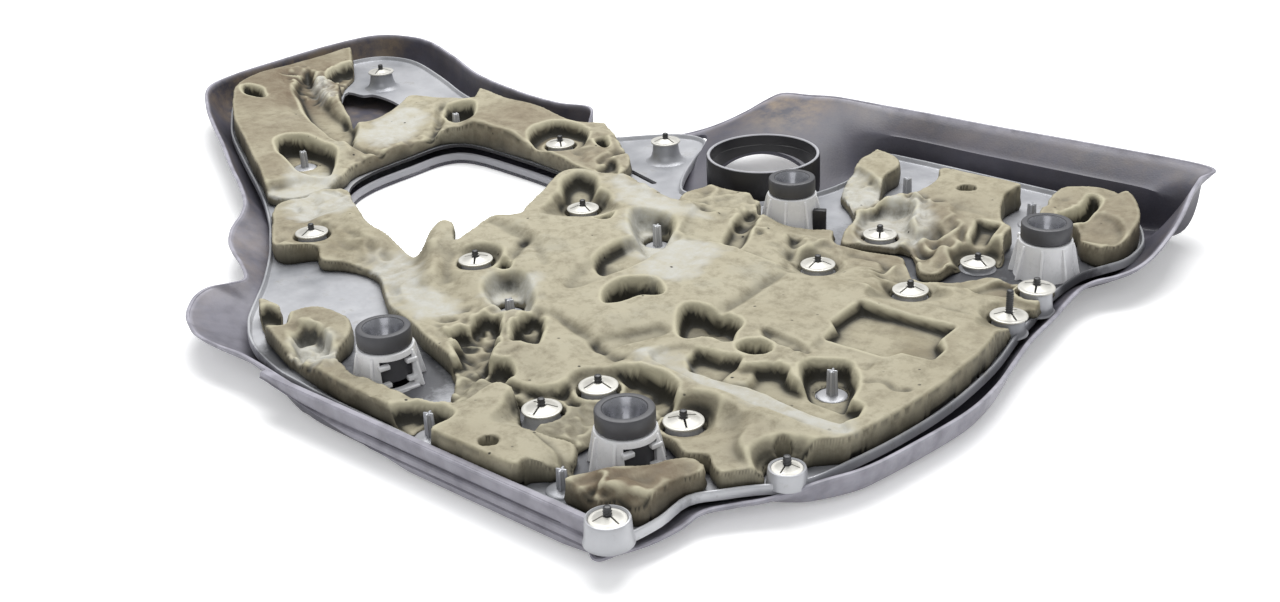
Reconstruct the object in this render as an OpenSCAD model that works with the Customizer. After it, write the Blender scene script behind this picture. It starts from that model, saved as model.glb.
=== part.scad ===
// Engine cover lying on its outer face, with its underside up.
// X runs along the straight side rail towards the bowed front edge,
// Y runs across from the rail to the raised wing, and Z points up.

/* [Cover] */
// Wall of the moulded cover
cover_t = 2.5; // [2:0.1:3.5]
// Outer radius of the bosses that carry the plate
post_r = 5.5; // [4.5:0.1:6.5]
// Radius of the studs that the push nuts grip
stud_r = 2.1; // [1.5:0.1:2.4]
// Length of stud that stands out of a push nut
stud_over = 5; // [3:0.5:8]
// Length of stud that stands out of the nut by the front edge
stud_long = 14; // [10:1:18]
// Height of the flange round the opening in the cover
flange_h = 5; // [3:0.5:7]

/* [Side rail] */
// Where the rail starts
rail_x0 = 24; // [20:1:40]
// Where the rail ends
rail_x1 = 251; // [240:1:251]
// Thickness of the rail
rail_t = 5; // [4:0.5:7]
// Depth of the two grooves along the rail
rail_groove = 0.9; // [0.5:0.1:1.5]

/* [Plate] */
// Height of the plate's upper face over the floor
plate_top = 14; // [13:0.5:17]
// Thickness of the plate
plate_t = 2; // [1.5:0.1:2.5]
// Height of the rim round the plate's edge
rim_h = 3; // [2:0.5:4]
// Width of that rim
rim_w = 2.2; // [1.5:0.1:3]

/* [Rubber mounts] */
// Height of the four sleeves over the plate
sleeve_h = 21; // [18:1:24]
// Radius of a sleeve at its foot
sleeve_foot_r = 18.5; // [17:0.5:20]
// Radius of a sleeve at its mouth
sleeve_top_r = 15; // [14.6:0.1:16]
// Wall of a sleeve at its mouth
sleeve_wall = 2.6; // [2:0.1:3]
// Ribs round a sleeve
sleeve_ribs = 8; // [6:1:10]
// Radius of the rubber mount's collar
mount_r = 14.15; // [13.5:0.05:14.4]
// Height of that collar
mount_h = 10; // [8:0.5:12]
// Radius of the funnel's mouth
funnel_r = 10.2; // [9:0.1:11]
// Radius of the socket under the funnel
socket_r = 5; // [4:0.1:6]
// Length of that socket
socket_len = 10; // [8:0.5:12]

/* [Filler collar] */
// Outer radius of the collar
collar_r = 37; // [35:0.5:38]
// Wall of the collar
collar_t = 2.4; // [2:0.1:3.5]
// Height of the collar's mouth over the plate
collar_top = 20; // [18:0.5:24]
// Clearance between the collar and the plate's edge
collar_gap = 3; // [2:0.5:4]
// Depth of the true round seat at the mouth
seat_len = 7; // [5:0.5:8]
// Rise of the collar's slanted foot for each millimetre across
foot_rise = 0.3; // [0.25:0.01:0.32]

/* [Push nuts] */
// Radius of a push nut
nut_r = 10; // [8.5:0.1:10.5]
// Thickness of a push nut
nut_t = 1.2; // [0.8:0.1:1.6]
// Height of its dome
nut_dome = 1.6; // [1:0.1:2.2]
// Width of the three slits in it
slit_w = 0.9; // [0.6:0.1:1.2]

/* [Foam] */
// Height of the main foam level over the plate
foam_h = 16; // [14:0.5:18]
// Height of the foam's low steps over the plate
foam_low = 9; // [7:0.5:11]
// Height of the foam's raised blocks over the plate
foam_high = 20; // [18.5:0.5:22]
// Gap between the foam and what it fits round
foam_gap = 0.4; // [0.3:0.1:1]

/* [Hidden] */
$fn = 48;

// Middle of the cover's outline, which is where the part's own axes cross
mid = [-34.5, 21.4];

// Places of the four rubber mounts
mounts_at = [[73, -176], [228, -167], [121, 109], [279, 132]];
// The way each sleeve is open, and whether it is
sleeve_open = [[-15, 1], [-15, 1], [0, 0], [0, 0]];
collar_at = [63, 157];
collar_dir = [-0.57, 0.82];

// Push nuts: x, y and the height of the boss that each sits on
nuts = [[-311, 153, 12], [-85, 120, 7], [-16, 152, 13], [-95, -90, 11], [20, -62, 12], [13, 37, 9],
        [176, 58, 5], [182, 113, 6], [246, 116, 3], [237, 59, 5], [299, 85, 13], [300, 54, 9],
        [177, -130, 9], [168, -161, 7], [232, -131, 8], [262, -218, 11], [295, -135, 9]];
long_stud = 11;
// From this nut on, the studs stand on the plate itself
edge_nut = 15;
// Cross-ribbed pins: x, y, length
pins = [[-214, -2, 13], [77, 33, 15], [266, -58, 15], [135, -204, 14], [156, 184, 14],
        [240, 189, 14], [-186, 116, 12], [70, -85, 10], [190, -55, 5], [219, -201, 12]];

// Round a list of corners off with a closed Catmull-Rom curve
function cr(a, b, c, d, t) = 0.5 * (2 * b + (c - a) * t + (2 * a - 5 * b + 4 * c - d) * t * t
                             + (3 * b - a - 3 * c + d) * t * t * t);
function loop(p, n) = [for (i = [0 : len(p) - 1], k = [0 : n - 1])
    cr(p[(i + len(p) - 1) % len(p)], p[i], p[(i + 1) % len(p)], p[(i + 2) % len(p)], k / n)];
// Move each point of a closed outline inwards by d
function inset(p, d) = [for (i = [0 : len(p) - 1])
    let (a = p[(i + len(p) - 1) % len(p)], b = p[(i + 1) % len(p)], e = (b - a) / norm(b - a))
    p[i] + d * [-e[1], e[0]]];
// A plate or block with a soft outline between two heights over the floor
module slab(p, z0, z1, n = 3) {
    translate([0, 0, z0]) linear_extrude(z1 - z0) polygon(loop(p, n));
}
module block(p, z0, z1) {
    translate([0, 0, z0]) linear_extrude(z1 - z0) polygon(p);
}
module at_frame() {
    translate([-mid[0], -mid[1], 0]) children();
}

// The opening through the cover, anticlockwise
opening = [[-168, 20], [-160, -5], [-142, -22], [-122, -33], [-95, -49], [-78, -57], [-40, -66],
           [-13, -72], [-8, -58], [-8, -34], [-17, -20], [-3, -12], [2, -4], [-4, 5], [-14, 28],
           [-28, 53], [-31, 70], [-30, 86], [-60, 92], [-100, 96], [-150, 97], [-166, 84], [-168, 55]];

// Cover rim: x, y and z of the lip's outer edge over the plate, x and y of the foot,
// and the kind of wall (0 flared, 1 upright, 2 wing with a shelf, 3 long slope of the hump)
rim = [
    [260, -227, -5, 246, -202, 0], [266, -216, -6, 246, -198, 0], [272, -202, -6, 250, -190, 0],
    [275, -186, -6, 252, -180, 0], [277, -172, -4, 256, -164, 0], [286, -160, -3, 266, -148, 0],
    [295, -150, -2, 276, -136, 0], [303, -139, 0, 284, -128, 0.5], [310, -128, 2, 292, -119, 0.8],
    [320, -105, 2, 300, -98, 1], [326, -71, 2, 306, -66, 1], [330, -35, 2, 310, -33, 1],
    [328, -5, 2, 308, -5, 0.9], [322, 25, 2, 301, 22, 0.6], [317, 50, 2, 295, 50, 0.4],
    [314, 80, 2, 291, 82, 0.2], [311, 100, 2, 287, 103, 0], [310, 118, 3, 284, 122, 0],
    [312, 131, 3, 285, 137, 0], [319, 141, 4, 291, 151, 0], [325, 152, 6, 296, 163, 0],
    [328, 166, 9, 297, 177, 0], [329, 184, 15, 296, 194, 0], [327, 206, 21, 293, 210, 0],
    [321, 232, 25, 289, 226, 0.3], [318, 250, 27, 286, 237, 1], [314, 269, 28, 283, 243, 2],
    [245, 268, 28, 235, 243, 2], [175, 266, 27, 170, 243, 2], [115, 264, 27, 112, 243, 2],
    [82, 262, 27, 100, 228, 2.5], [50, 260, 27, 98, 200, 3], [28, 258, 25, 96, 172, 3],
    [8, 254, 24, 88, 144, 3], [2, 240, 21, 70, 122, 3], [-2, 224, 17, 48, 112, 3],
    [-14, 210, 10, 26, 108, 3], [-32, 206, 2, 2, 112, 2.6], [-50, 194, -3, -20, 118, 2],
    [-64, 178, -5, -42, 138, 1], [-82, 165, -5, -74, 138, 1], [-96, 164, 6, -96, 136, 1],
    [-104, 174, 15, -113, 146, 1], [-130, 167, 16, -135, 144, 1], [-172, 170, 16, -177, 147, 1],
    [-229, 183, 16, -238, 160, 1], [-281, 206, 16, -288, 182, 1], [-331, 225, 16, -335, 200, 1],
    [-362, 225, 16, -355, 201, 1], [-387, 211, 16, -367, 192, 1], [-397, 170, 16, -373, 162, 1],
    [-399, 120, 16, -375, 118, 1], [-398, 76, 16, -373, 79, 1], [-390, 45, 15, -364, 58, 0.7],
    [-355, 18, 13, -337, 40, 0.5], [-314, -5, 11, -302, 16, 0.4], [-280, -23, 11, -268, -2, 0.4],
    [-239, -46, 10, -226, -26, 0.4], [-208, -62, 9, -195, -42, 0.4], [-181, -78, 8, -166, -57, 0.3],
    [-167, -91, 7, -144, -68, 0], [-159, -102, 6, -130, -76, 0], [-151, -111, 6, -120, -88, 0],
    [-139, -121, 5, -112, -101, 0], [-122, -130, 5, -98, -113, 0], [-104, -138, 5, -82, -124, 0],
    [-86, -149, 5, -66, -136, 0], [-86, -160, 6, -58, -146, 0], [-91, -170, 6, -52, -152, 0],
    [-88, -181, 6, -46, -158, 0], [-80, -191, 6, -40, -166, 0], [-70, -200, 6, -32, -173, 0],
    [-57, -207, 6, -24, -179, 0], [-43, -212, 6, -16, -184, 0], [-24, -213, 6, -4, -188, 0],
    [-6, -212, 6, 8, -190, 0], [16, -214, 6, 22, -192, 0.4], [48, -218, 6, 48, -199, 1],
    [72, -220, 7, 72, -203, 1], [150, -221, 7, 150, -204, 1], [225, -221, 7, 222, -204, 1],
    [249, -221, 6, 237, -204, 1]];
// Wall sections: how far out and how far up each of the seven rows of points lies
wall_u = [[0, 0.17, 0.33, 0.5, 0.67, 0.84, 1], [0, 0.45, 0.74, 0.88, 0.95, 0.98, 1],
          [0, 0.1, 0.16, 0.18, 0.26, 0.62, 1], [0, 0.15, 0.3, 0.5, 0.7, 0.88, 1]];
wall_v = [[0, 0.1, 0.26, 0.44, 0.63, 0.82, 1], [0, 0.03, 0.13, 0.32, 0.56, 0.79, 1],
          [0, 0.02, 0.14, 0.6, 0.66, 0.84, 1], [0, 0.06, 0.24, 0.56, 0.8, 0.94, 1]];
rows = 7;
function mix(t, k, j) = let (i = min(floor(k), 2)) t[i][j] * (1 - (k - i)) + t[i + 1][j] * (k - i);
function outward(s) = [s[0] - s[3], s[1] - s[4]] / norm([s[0] - s[3], s[1] - s[4]]);
function wall_in(s, j) = let (u = mix(wall_u, s[5], j), v = mix(wall_v, s[5], j), g = outward(s) * cover_t)
    [s[3] + (s[0] - g[0] - s[3]) * u, s[4] + (s[1] - g[1] - s[4]) * u,
     cover_t + (s[2] + plate_top - cover_t) * v];
function wall_out(s, j) = let (a = wall_in(s, max(j - 1, 0)), b = wall_in(s, min(j + 1, rows - 1)),
    g = outward(s), du = norm([b[0] - a[0], b[1] - a[1]]), dz = b[2] - a[2], q = norm([du, dz]))
    j == 0 ? wall_in(s, 0) - [0, 0, cover_t]
    : wall_in(s, j) + cover_t / q * (j == rows - 1 ? [g[0], g[1], 0] * q : [g[0] * dz, g[1] * dz, -du]);

module shell_tray() {
    st = [for (s = loop(rim, 2)) [s[0], s[1], s[2], s[3], s[4], min(max(s[5], 0), 3)]];
    n = len(st);
    pts = concat([for (j = [0 : rows - 1], s = st) wall_in(s, j)],
                 [for (j = [rows - 1 : -1 : 0], s = st) wall_out(s, j)]);
    rings = 2 * rows;
    polyhedron(pts, concat(
        [for (j = [0 : rings - 2], i = [0 : n - 1], h = [0, 1])
            let (a = j * n + i, b = j * n + (i + 1) % n)
            h == 0 ? [a, b, a + n] : [b, b + n, a + n]],
        [[for (i = [n - 1 : -1 : 0]) i]], [[for (i = [0 : n - 1]) (rings - 1) * n + i]]));
}

// The side rail's section, with two grooves, as y and z
module side_rail() {
    y0 = -216;
    z1 = plate_top + 8;
    z0 = plate_top - 11;
    outer = y0 - rail_t;
    g = rail_groove;
    difference() {
        translate([rail_x0, 0, 0]) rotate([90, 0, 90]) linear_extrude(rail_x1 - rail_x0)
            polygon([[y0, z1 - 1], [outer + 1, z1], [outer, z1 - 1], [outer, z1 - 7], [outer + g, z1 - 7.6],
                     [outer + g, z1 - 8.6], [outer - 0.8, z1 - 9.2], [outer - 0.8, z1 - 13],
                     [outer + g, z1 - 13.6], [outer + g, z1 - 14.4], [outer, z1 - 15], [outer + 1.2, z0],
                     [y0, z0]]);
        translate([rail_x0, outer - 3, z1 - 4]) rotate([0, 9, 0]) mirror([0, 0, 1]) cube([110, rail_t + 8, 30]);
        translate([rail_x1 - 60, outer - 3, z0]) rotate([0, -4, 0]) mirror([0, 0, 1]) cube([70, rail_t + 8, 9]);
    }
}

module outer_cover() {
    color("#3d3c46") at_frame() {
        difference() {
            union() {
                shell_tray();
                side_rail();
                flange = inset(loop(opening, 3), -cover_t);
                translate([0, 0, 1]) linear_extrude(cover_t + flange_h - 1) polygon(flange);
            }
            translate([0, 0, -1]) linear_extrude(plate_top) polygon(loop(opening, 3));
            translate([collar_at[0], collar_at[1], -1]) cylinder(r = collar_r + foam_gap, h = 60);
            translate([0, 0, plate_top - plate_t - 0.3]) linear_extrude(60) polygon(inset(loop(plate_edge, 2), -0.5));
        }
        for (i = [0 : edge_nut - 1])
            let (p = nuts[i], top = plate_top + p[2] + nut_dome + (i == long_stud ? stud_long : stud_over)) {
            translate([p[0], p[1], cover_t - 1]) cylinder(r = post_r, h = plate_top - plate_t - cover_t + 1);
            translate([p[0], p[1], cover_t]) cylinder(r = stud_r, h = top - cover_t, $fn = 24);
        }
    }
}
// Outline of the carrier plate, anticlockwise
plate_edge = [[250, -213], [254, -223], [262, -226], [268, -214], [271, -194], [270, -174],
    [279, -161], [288, -150], [297, -141], [305, -128], [310, -108], [316, -75], [319, -35], [316, 12], [308, 52],
    [304, 78], [300, 98], [299, 118], [300, 138], [305, 152], [311, 168], [311, 186], [306, 203], [292, 224],
    [270, 239], [225, 241], [112, 241], [106, 232], [110, 205], [110, 170], [100, 140], [82, 118],
    [60, 110], [38, 109], [28, 116], [15, 136], [1, 165], [-8, 186], [-20, 195], [-38, 192],
    [-55, 178], [-72, 161], [-92, 150], [-130, 153], [-172, 156], [-229, 169], [-281, 191],
    [-331, 209], [-360, 208], [-377, 195], [-384, 165], [-386, 120], [-384, 78], [-372, 54],
    [-335, 24], [-307, 5], [-257, -22], [-196, -54], [-152, -81], [-125, -101], [-106, -116],
    [-84, -136], [-72, -148], [-48, -174], [-36, -184], [-24, -192], [-6, -200], [20, -207], [40, -209],
    [69, -211], [150, -213]];
// Ends of the slot through the plate's far lug
plate_slot = [[-22, 122], [5, 114]];
// Cut-out in the plate under the arm
arm_cut = [[-323, 124], [-308, 130], [-300, 136], [-268, 131], [-230, 112], [-222, 90], [-232, 60], [-262, 70]];

module sleeve(i) {
    p = mounts_at[i];
    rb = sleeve_top_r - sleeve_wall;
    difference() {
        translate([p[0], p[1], plate_top - 0.5]) union() {
            cylinder(r1 = sleeve_foot_r - 1.5, r2 = sleeve_top_r, h = sleeve_h + 0.5);
            for (k = [0 : sleeve_ribs - 1]) rotate(k * 360 / sleeve_ribs + 22)
                rotate([90, 0, 0]) linear_extrude(1.8, center = true)
                polygon([[rb + 1, 0], [sleeve_foot_r + 2, 0], [sleeve_top_r + 0.6, sleeve_h - 1],
                         [rb + 1, sleeve_h - 1]]);
        }
        translate([p[0], p[1], plate_top - 1]) cylinder(r = rb, h = sleeve_h + 3);
        if (sleeve_open[i][1] == 1) translate([p[0], p[1], plate_top])
            rotate(sleeve_open[i][0]) translate([0, -10, 0.01]) cube([30, 20, sleeve_h - 3.5]);
    }
    if (sleeve_open[i][1] == 1) translate([p[0], p[1], plate_top]) rotate(sleeve_open[i][0])
        for (s = [-1, 1], h = [3.5, 13]) translate([rb - 1.4, s * 8.75 - 2.25, h]) cube([2.2, 4.5, 2.4]);
}

module pin(p) {
    translate([p[0], p[1], plate_top - 0.5]) {
        cylinder(r = 8, h = 2);
        for (a = [0, 90]) rotate(a) translate([-3, -0.6, 0]) cube([6, 1.2, p[2]]);
        cylinder(r = 1.6, h = p[2] - 0.5, $fn = 20);
    }
}

module carrier_plate() {
    edge = loop(plate_edge, 2);
    color("#b9bac2") at_frame() {
        difference() {
            union() {
                translate([0, 0, plate_top - plate_t]) linear_extrude(plate_t) polygon(edge);
                translate([0, 0, plate_top - plate_t]) linear_extrude(plate_t + rim_h)
                    difference() {
                        polygon(edge);
                        polygon(inset(edge, rim_w));
                    }
                intersection() {
                    for (p = nuts) translate([p[0], p[1], plate_top - plate_t])
                        cylinder(r1 = nut_r + 1, r2 = nut_r - 1.5, h = plate_t + p[2]);
                    linear_extrude(60) polygon(edge);
                }
                for (p = pins) pin(p);
                for (i = [0 : 3]) sleeve(i);
            }
            block(inset(loop(opening, 3), -0.5), 0, plate_top + 6);
            slab(arm_cut, 0, plate_top + 6, 2);
            translate([collar_at[0], collar_at[1], 0]) cylinder(r = collar_r + collar_gap, h = 60, $fn = 96);
            hull() for (q = plate_slot) translate([q[0], q[1], 0]) cylinder(r = 2, h = 60, $fn = 20);
            for (i = [0 : edge_nut - 1]) translate([nuts[i][0], nuts[i][1], 0])
                cylinder(r = stud_r + 0.3, h = 60, $fn = 24);
            for (p = mounts_at) translate([p[0], p[1], 0]) cylinder(r = sleeve_top_r - sleeve_wall, h = 30);
        }
        for (i = [edge_nut : len(nuts) - 1]) translate([nuts[i][0], nuts[i][1], plate_top])
            cylinder(r = stud_r, h = nuts[i][2] + nut_dome + stud_over, $fn = 24);
    }
}

module filler_collar() {
    z1 = plate_top + collar_top;
    rb = collar_r - collar_t;
    color("#232228") at_frame() translate([collar_at[0], collar_at[1], 0]) difference() {
        cylinder(r = collar_r, h = z1, $fn = 96);
        translate([0, 0, -1]) cylinder(r = rb - 0.5, h = z1 + 2, $fn = 96);
        translate([0, 0, z1 - seat_len]) cylinder(r = rb, h = seat_len + 1, $fn = 96);
        rotate(atan2(collar_dir[1], collar_dir[0])) translate([0, 0, plate_top - 2])
            rotate([0, -atan(foot_rise), 0]) mirror([0, 0, 1]) translate([-80, -80, 0]) cube([160, 160, 60]);
    }
}

module rubber_mount(i) {
    p = mounts_at[i];
    z1 = plate_top + sleeve_h + mount_h;
    depth = z1 - plate_top - 4;
    body_r = sleeve_top_r - sleeve_wall - 0.02;
    cone_h = depth - socket_len - 7;
    color("#2b2b2d") at_frame() translate([p[0], p[1], 0]) difference() {
        union() {
            translate([0, 0, z1 - mount_h]) cylinder(r = mount_r, h = mount_h);
            translate([0, 0, z1 - depth]) cylinder(r = body_r, h = depth);
        }
        translate([0, 0, z1 - cone_h]) cylinder(r1 = socket_r, r2 = funnel_r, h = cone_h + 0.001);
        translate([0, 0, z1 - cone_h - socket_len]) cylinder(r = socket_r, h = socket_len + 0.01);
    }
}

module push_nut(p) {
    translate([p[0], p[1], plate_top + p[2]]) difference() {
        union() {
            cylinder(r = nut_r, h = nut_t);
            cylinder(r1 = nut_r - 1.5, r2 = stud_r + 1.2, h = nut_t + nut_dome);
        }
        translate([0, 0, -1]) cylinder(r = stud_r, h = 20, $fn = 24);
        for (a = [90, 210, 330]) rotate(a + 12)
            translate([stud_r - 0.5, -slit_w / 2, -1]) cube([nut_r * 0.62, slit_w, 20]);
    }
}

module push_nuts() {
    color("#e9e9e6") at_frame() for (p = nuts) push_nut(p);
}

// Keep foam inside the plate's rim
module inside_rim() {
    intersection() {
        children();
        linear_extrude(90) polygon(inset(loop(plate_edge, 2), rim_w + foam_gap));
    }
}
// Clear holes through the foam: x, y, radius
module wells(list) {
    for (p = list) translate([p[0], p[1], 0]) cylinder(r = p[2], h = 90);
}
nut_wells = [for (p = nuts) [p[0], p[1], nut_r + 2.2]];
pin_wells = [for (p = pins) [p[0], p[1], 9]];

module foam_arm() {
    z0 = plate_top + foam_gap;
    z1 = plate_top + foam_h;
    color("#b3ad92") at_frame() inside_rim() difference() {
        union() {
            slab([[-386, 182], [-388, 160], [-387, 110], [-380, 74], [-369, 52], [-338, 27], [-300, 2],
                  [-250, -24], [-205, -48], [-182, -60], [-160, -52], [-158, -34], [-160, -12],
                  [-170, 14], [-171, 55], [-170, 84], [-150, 100], [-100, 99], [-62, 94], [-48, 92],
                  [-28, 108], [-24, 134], [-32, 139], [-44, 120], [-60, 118], [-62, 132], [-78, 156],
                  [-90, 163], [-130, 152], [-172, 155], [-206, 164], [-206, 158],
                  [-192, 140], [-215, 135], [-242, 124], [-232, 104], [-225, 82], [-232, 56],
                  [-250, 66], [-285, 88], [-312, 112], [-328, 128], [-345, 150], [-364, 166]], z0, z1);
        }
        slab([[-338, 97], [-307, 82], [-285, 72], [-262, 68], [-245, 66], [-228, 50], [-215, 42],
              [-228, 33], [-262, 44], [-300, 58], [-330, 76]], plate_top + 4, z1 + 1);
        slab([[-345, 150], [-326, 140], [-318, 124], [-330, 118], [-345, 132]], plate_top + 3, z1 + 1);
        slab([[-214, 122], [-192, 118], [-176, 96], [-162, 60], [-156, 64], [-160, 95], [-172, 120],
              [-190, 130]], plate_top + 3, z1 + 1);
        slab([[-246, 4], [-228, 11], [-205, 9], [-182, -8], [-172, -20], [-190, -26], [-225, -14]],
             plate_top + 2.5, z1 + 1);
        slab([[-365, 66], [-350, 66], [-333, 56], [-342, 52], [-358, 57]], plate_top + 6, z1 + 1);
        slab([[-112, 148], [-92, 142], [-74, 118], [-76, 100], [-100, 104], [-118, 134]],
             plate_top + 2, z1 + 1);
        wells(nut_wells);
        wells(pin_wells);
    }
}

module foam_centre() {
    z0 = plate_top + foam_gap;
    z1 = plate_top + foam_h;
    low = plate_top + foam_low;
    high = plate_top + foam_high;
    color("#b3ad92") at_frame() inside_rim() difference() {
        union() {
            // Low ground that joins the blocks
            slab([[-157, -34], [-157, -56], [-170, -68], [-130, -92], [-108, -108], [-90, -112],
                  [-70, -124], [-60, -118], [-44, -126], [-24, -117], [0, -120], [20, -134], [30, -140],
                  [60, -150], [98, -158], [118, -150], [160, -150], [166, -130], [220, -118], [262, -120],
                  [290, -112], [312, -100], [318, -60], [318, -10], [314, 20], [300, 38], [290, 70],
                  [262, 92], [258, 72], [228, 78], [200, 82], [170, 84], [158, 70], [140, 80], [104, 82],
                  [100, 106], [80, 108], [58, 106], [52, 76], [8, 82], [-6, 74], [-25, 72], [-29, 52],
                  [-14, 28], [-4, 5], [3, -5], [-16, -20], [-7, -34], [-6, -58], [-12, -74], [-40, -68],
                  [-78, -59], [-95, -51], [-122, -35], [-142, -24]], z0, low);
            // Strip along the near side of the opening
            slab([[-122, -52], [-126, -84], [-104, -106], [-84, -112], [-52, -106], [-20, -110],
                  [10, -112], [24, -128], [60, -132], [64, -96], [30, -76], [4, -84], [-26, -44],
                  [-26, -52], [-12, -74], [-40, -68], [-78, -59]], low - 1, z1 - 2);
            // Block beside the opening
            slab([[-27, 52], [-24, 68], [-4, 72], [10, 62], [30, 66], [60, 70], [92, 66], [96, 40],
                  [86, 12], [84, -20], [80, -52], [82, -78], [60, -96], [26, -84], [14, -92],
                  [4, -74], [-5, -58], [-7, -34], [-16, -20], [3, -5], [-4, 5], [-14, 28]], low - 1, high - 1);
            // Middle and front blocks behind one straight crest
            slab([[96, 30], [130, 31], [172, 29], [172, -30], [166, -62], [152, -84], [120, -94],
                  [98, -74], [94, -20]], low - 1, z1);
            slab([[182, 30], [240, 32], [300, 37], [312, 10], [317, -30], [312, -76], [298, -108],
                  [270, -114], [222, -116], [170, -108], [172, -96], [190, -80], [186, -30], [184, 0]],
                 low - 1, z1);
            slab([[96, -98], [160, -100], [166, -126], [120, -148], [112, -120]], low - 1, z1 - 3);
            // Thin skin round the two nuts by the near mount
            slab([[104, -150], [112, -164], [119, -176], [128, -180], [133, -172], [134, -160], [150, -158],
                  [165, -161], [174, -168], [177, -180], [186, -184], [198, -181], [203, -172], [203, -158],
                  [212, -147], [226, -142], [240, -140], [240, -116], [200, -114], [174, -114], [164, -134],
                  [160, -146], [140, -148]], z0, plate_top + 7);
            // Foot of the front block that reaches down beside the plate's edge
            slab([[262, -112], [300, -108], [296, -120], [288, -140], [290, -162], [270, -158],
                  [240, -150], [238, -142], [262, -138], [270, -124]], z0, z1 - 2);
        }
        block([[236, 11], [289, 16], [290, -6], [294, -10], [293, -24], [284, -24], [236, -26], [234, -14],
               [238, -10]], plate_top + 8, z1 + 9);
        slab([[110, -34], [124, -28], [138, -38], [132, -50], [124, -61], [113, -56]], plate_top + 2, z1 + 9);
        slab([[163, -42], [174, -36], [190, -38], [202, -60], [188, -62], [180, -70], [172, -58]],
             plate_top + 2, z1 + 9);
        slab([[214, -54], [222, -52], [226, -60], [218, -66], [213, -60]], plate_top + 3, z1 + 9);
        slab([[198, -76], [222, -72], [252, -72], [292, -76], [295, -90], [262, -90], [240, -90],
              [206, -92]], plate_top + 6, z1 + 9);
        slab([[258, -46], [268, -42], [280, -52], [282, -78], [270, -82], [258, -66]], plate_top + 2, z1 + 9);
        slab([[54, -70], [72, -74], [88, -90], [80, -98], [60, -94], [50, -80]], plate_top + 2, z1 + 9);
        slab([[56, 34], [76, 42], [88, 30], [95, 14], [84, 10], [66, 20]], plate_top + 2, z1 + 9);
        slab([[88, -100], [100, -98], [120, -118], [112, -150], [98, -146], [90, -122]], plate_top + 2, z1 + 9);
        slab([[-18, 60], [-6, 58], [10, 36], [6, 24], [-6, 34], [-18, 50]], plate_top + 5, z1 + 9);
        slab([[36, 30], [46, 28], [49, 20], [44, 17]], plate_top + 2, z1 + 9);
        translate([285, -124, plate_top + 4]) cylinder(r = 3.4, h = 60);
        wells(nut_wells);
        wells(pin_wells);
        wells([for (p = mounts_at) [p[0], p[1], sleeve_foot_r + 3]]);
    }
}

module foam_side_strip() {
    z0 = plate_top + foam_gap;
    z1 = plate_top + foam_h - 1;
    color("#b3ad92") at_frame() inside_rim() difference() {
        union() {
            slab([[-44, -168], [-24, -168], [-8, -158], [6, -158], [22, -154], [34, -166], [40, -180],
                  [54, -196], [98, -198], [128, -190], [144, -164], [164, -170], [168, -196], [200, -188],
                  [216, -196], [246, -192], [266, -180], [266, -196], [256, -204], [244, -202], [240, -211],
                  [206, -216], [206, -211], [150, -211], [120, -208], [70, -207], [40, -203],
                  [14, -197], [-8, -190], [-26, -178]], z0, z1);
        }
        slab([[-32, -172], [-20, -172], [-6, -178], [-14, -184], [-28, -182]], plate_top + 4, z1 + 9);
        slab([[8, -182], [16, -176], [32, -182], [32, -192], [20, -192]], plate_top + 4, z1 + 9);
        slab([[118, -204], [126, -196], [142, -194], [156, -202], [154, -212], [130, -216]], plate_top + 2, z1 + 9);
        translate([180, -204, plate_top + 4]) cylinder(r = 5, h = 60);
        wells(nut_wells);
        wells(pin_wells);
        wells([for (p = mounts_at) [p[0], p[1], sleeve_foot_r + 3]]);
    }
}

module foam_wing() {
    z0 = plate_top + foam_gap;
    z1 = plate_top + foam_h;
    color("#b3ad92") at_frame() inside_rim() difference() {
        union() {
            slab([[108, 216], [134, 208], [141, 198], [142, 182], [156, 154], [168, 162], [174, 172],
                  [174, 190], [166, 202], [176, 208], [222, 208], [224, 190], [232, 170], [246, 150],
                  [254, 132], [256, 120], [244, 112], [236, 104], [238, 84], [224, 88], [214, 100],
                  [200, 110], [192, 102], [180, 96], [164, 100], [158, 122], [150, 128], [124, 156],
                  [120, 170], [112, 186]], z0, z1 - 3);
            slab([[166, 202], [176, 208], [222, 208], [224, 190], [228, 176], [212, 168], [186, 162],
                  [174, 166], [174, 190]], z1 - 4, z1 + 1);
        }
        slab([[162, 136], [176, 152], [192, 140], [196, 116], [180, 104], [168, 112]], plate_top + 4, z1 + 9);
        slab([[228, 150], [242, 150], [246, 130], [232, 130]], plate_top + 6, z1 + 9);
        translate([197, 184, plate_top + 5]) cylinder(r = 5.5, h = 60);
        wells(nut_wells);
        wells(pin_wells);
        wells([for (p = mounts_at) [p[0], p[1], sleeve_foot_r + 3]]);
    }
}

module foam_corner() {
    z0 = plate_top + foam_gap;
    z1 = plate_top + foam_h;
    color("#b3ad92") at_frame() inside_rim() difference() {
        union() {
            slab([[246, 210], [252, 222], [272, 230], [288, 233], [298, 218], [308, 194], [309, 150],
                  [306, 162], [302, 154], [286, 156], [276, 170], [262, 168], [250, 176]], z0, z1 - 4);
            slab([[246, 210], [252, 222], [272, 230], [272, 200], [268, 178], [252, 180]], z1 - 6, z1 + 1);
            slab([[278, 231], [288, 233], [298, 218], [307, 196], [307, 168], [284, 172], [276, 196]],
                 z1 - 6, z1 + 3);
        }
        wells(nut_wells);
        wells(pin_wells);
        wells([for (p = mounts_at) [p[0], p[1], sleeve_foot_r + 3]]);
    }
}

outer_cover();
carrier_plate();
filler_collar();
rubber_mount(0);  // rubber_mount_1
rubber_mount(1);  // rubber_mount_2
rubber_mount(2);  // rubber_mount_3
rubber_mount(3);  // rubber_mount_4
push_nuts();
foam_arm();
foam_centre();
foam_side_strip();
foam_wing();
foam_corner();
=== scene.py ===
import math

import bpy
import bmesh
import numpy as np
from mathutils import Matrix, Vector


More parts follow.
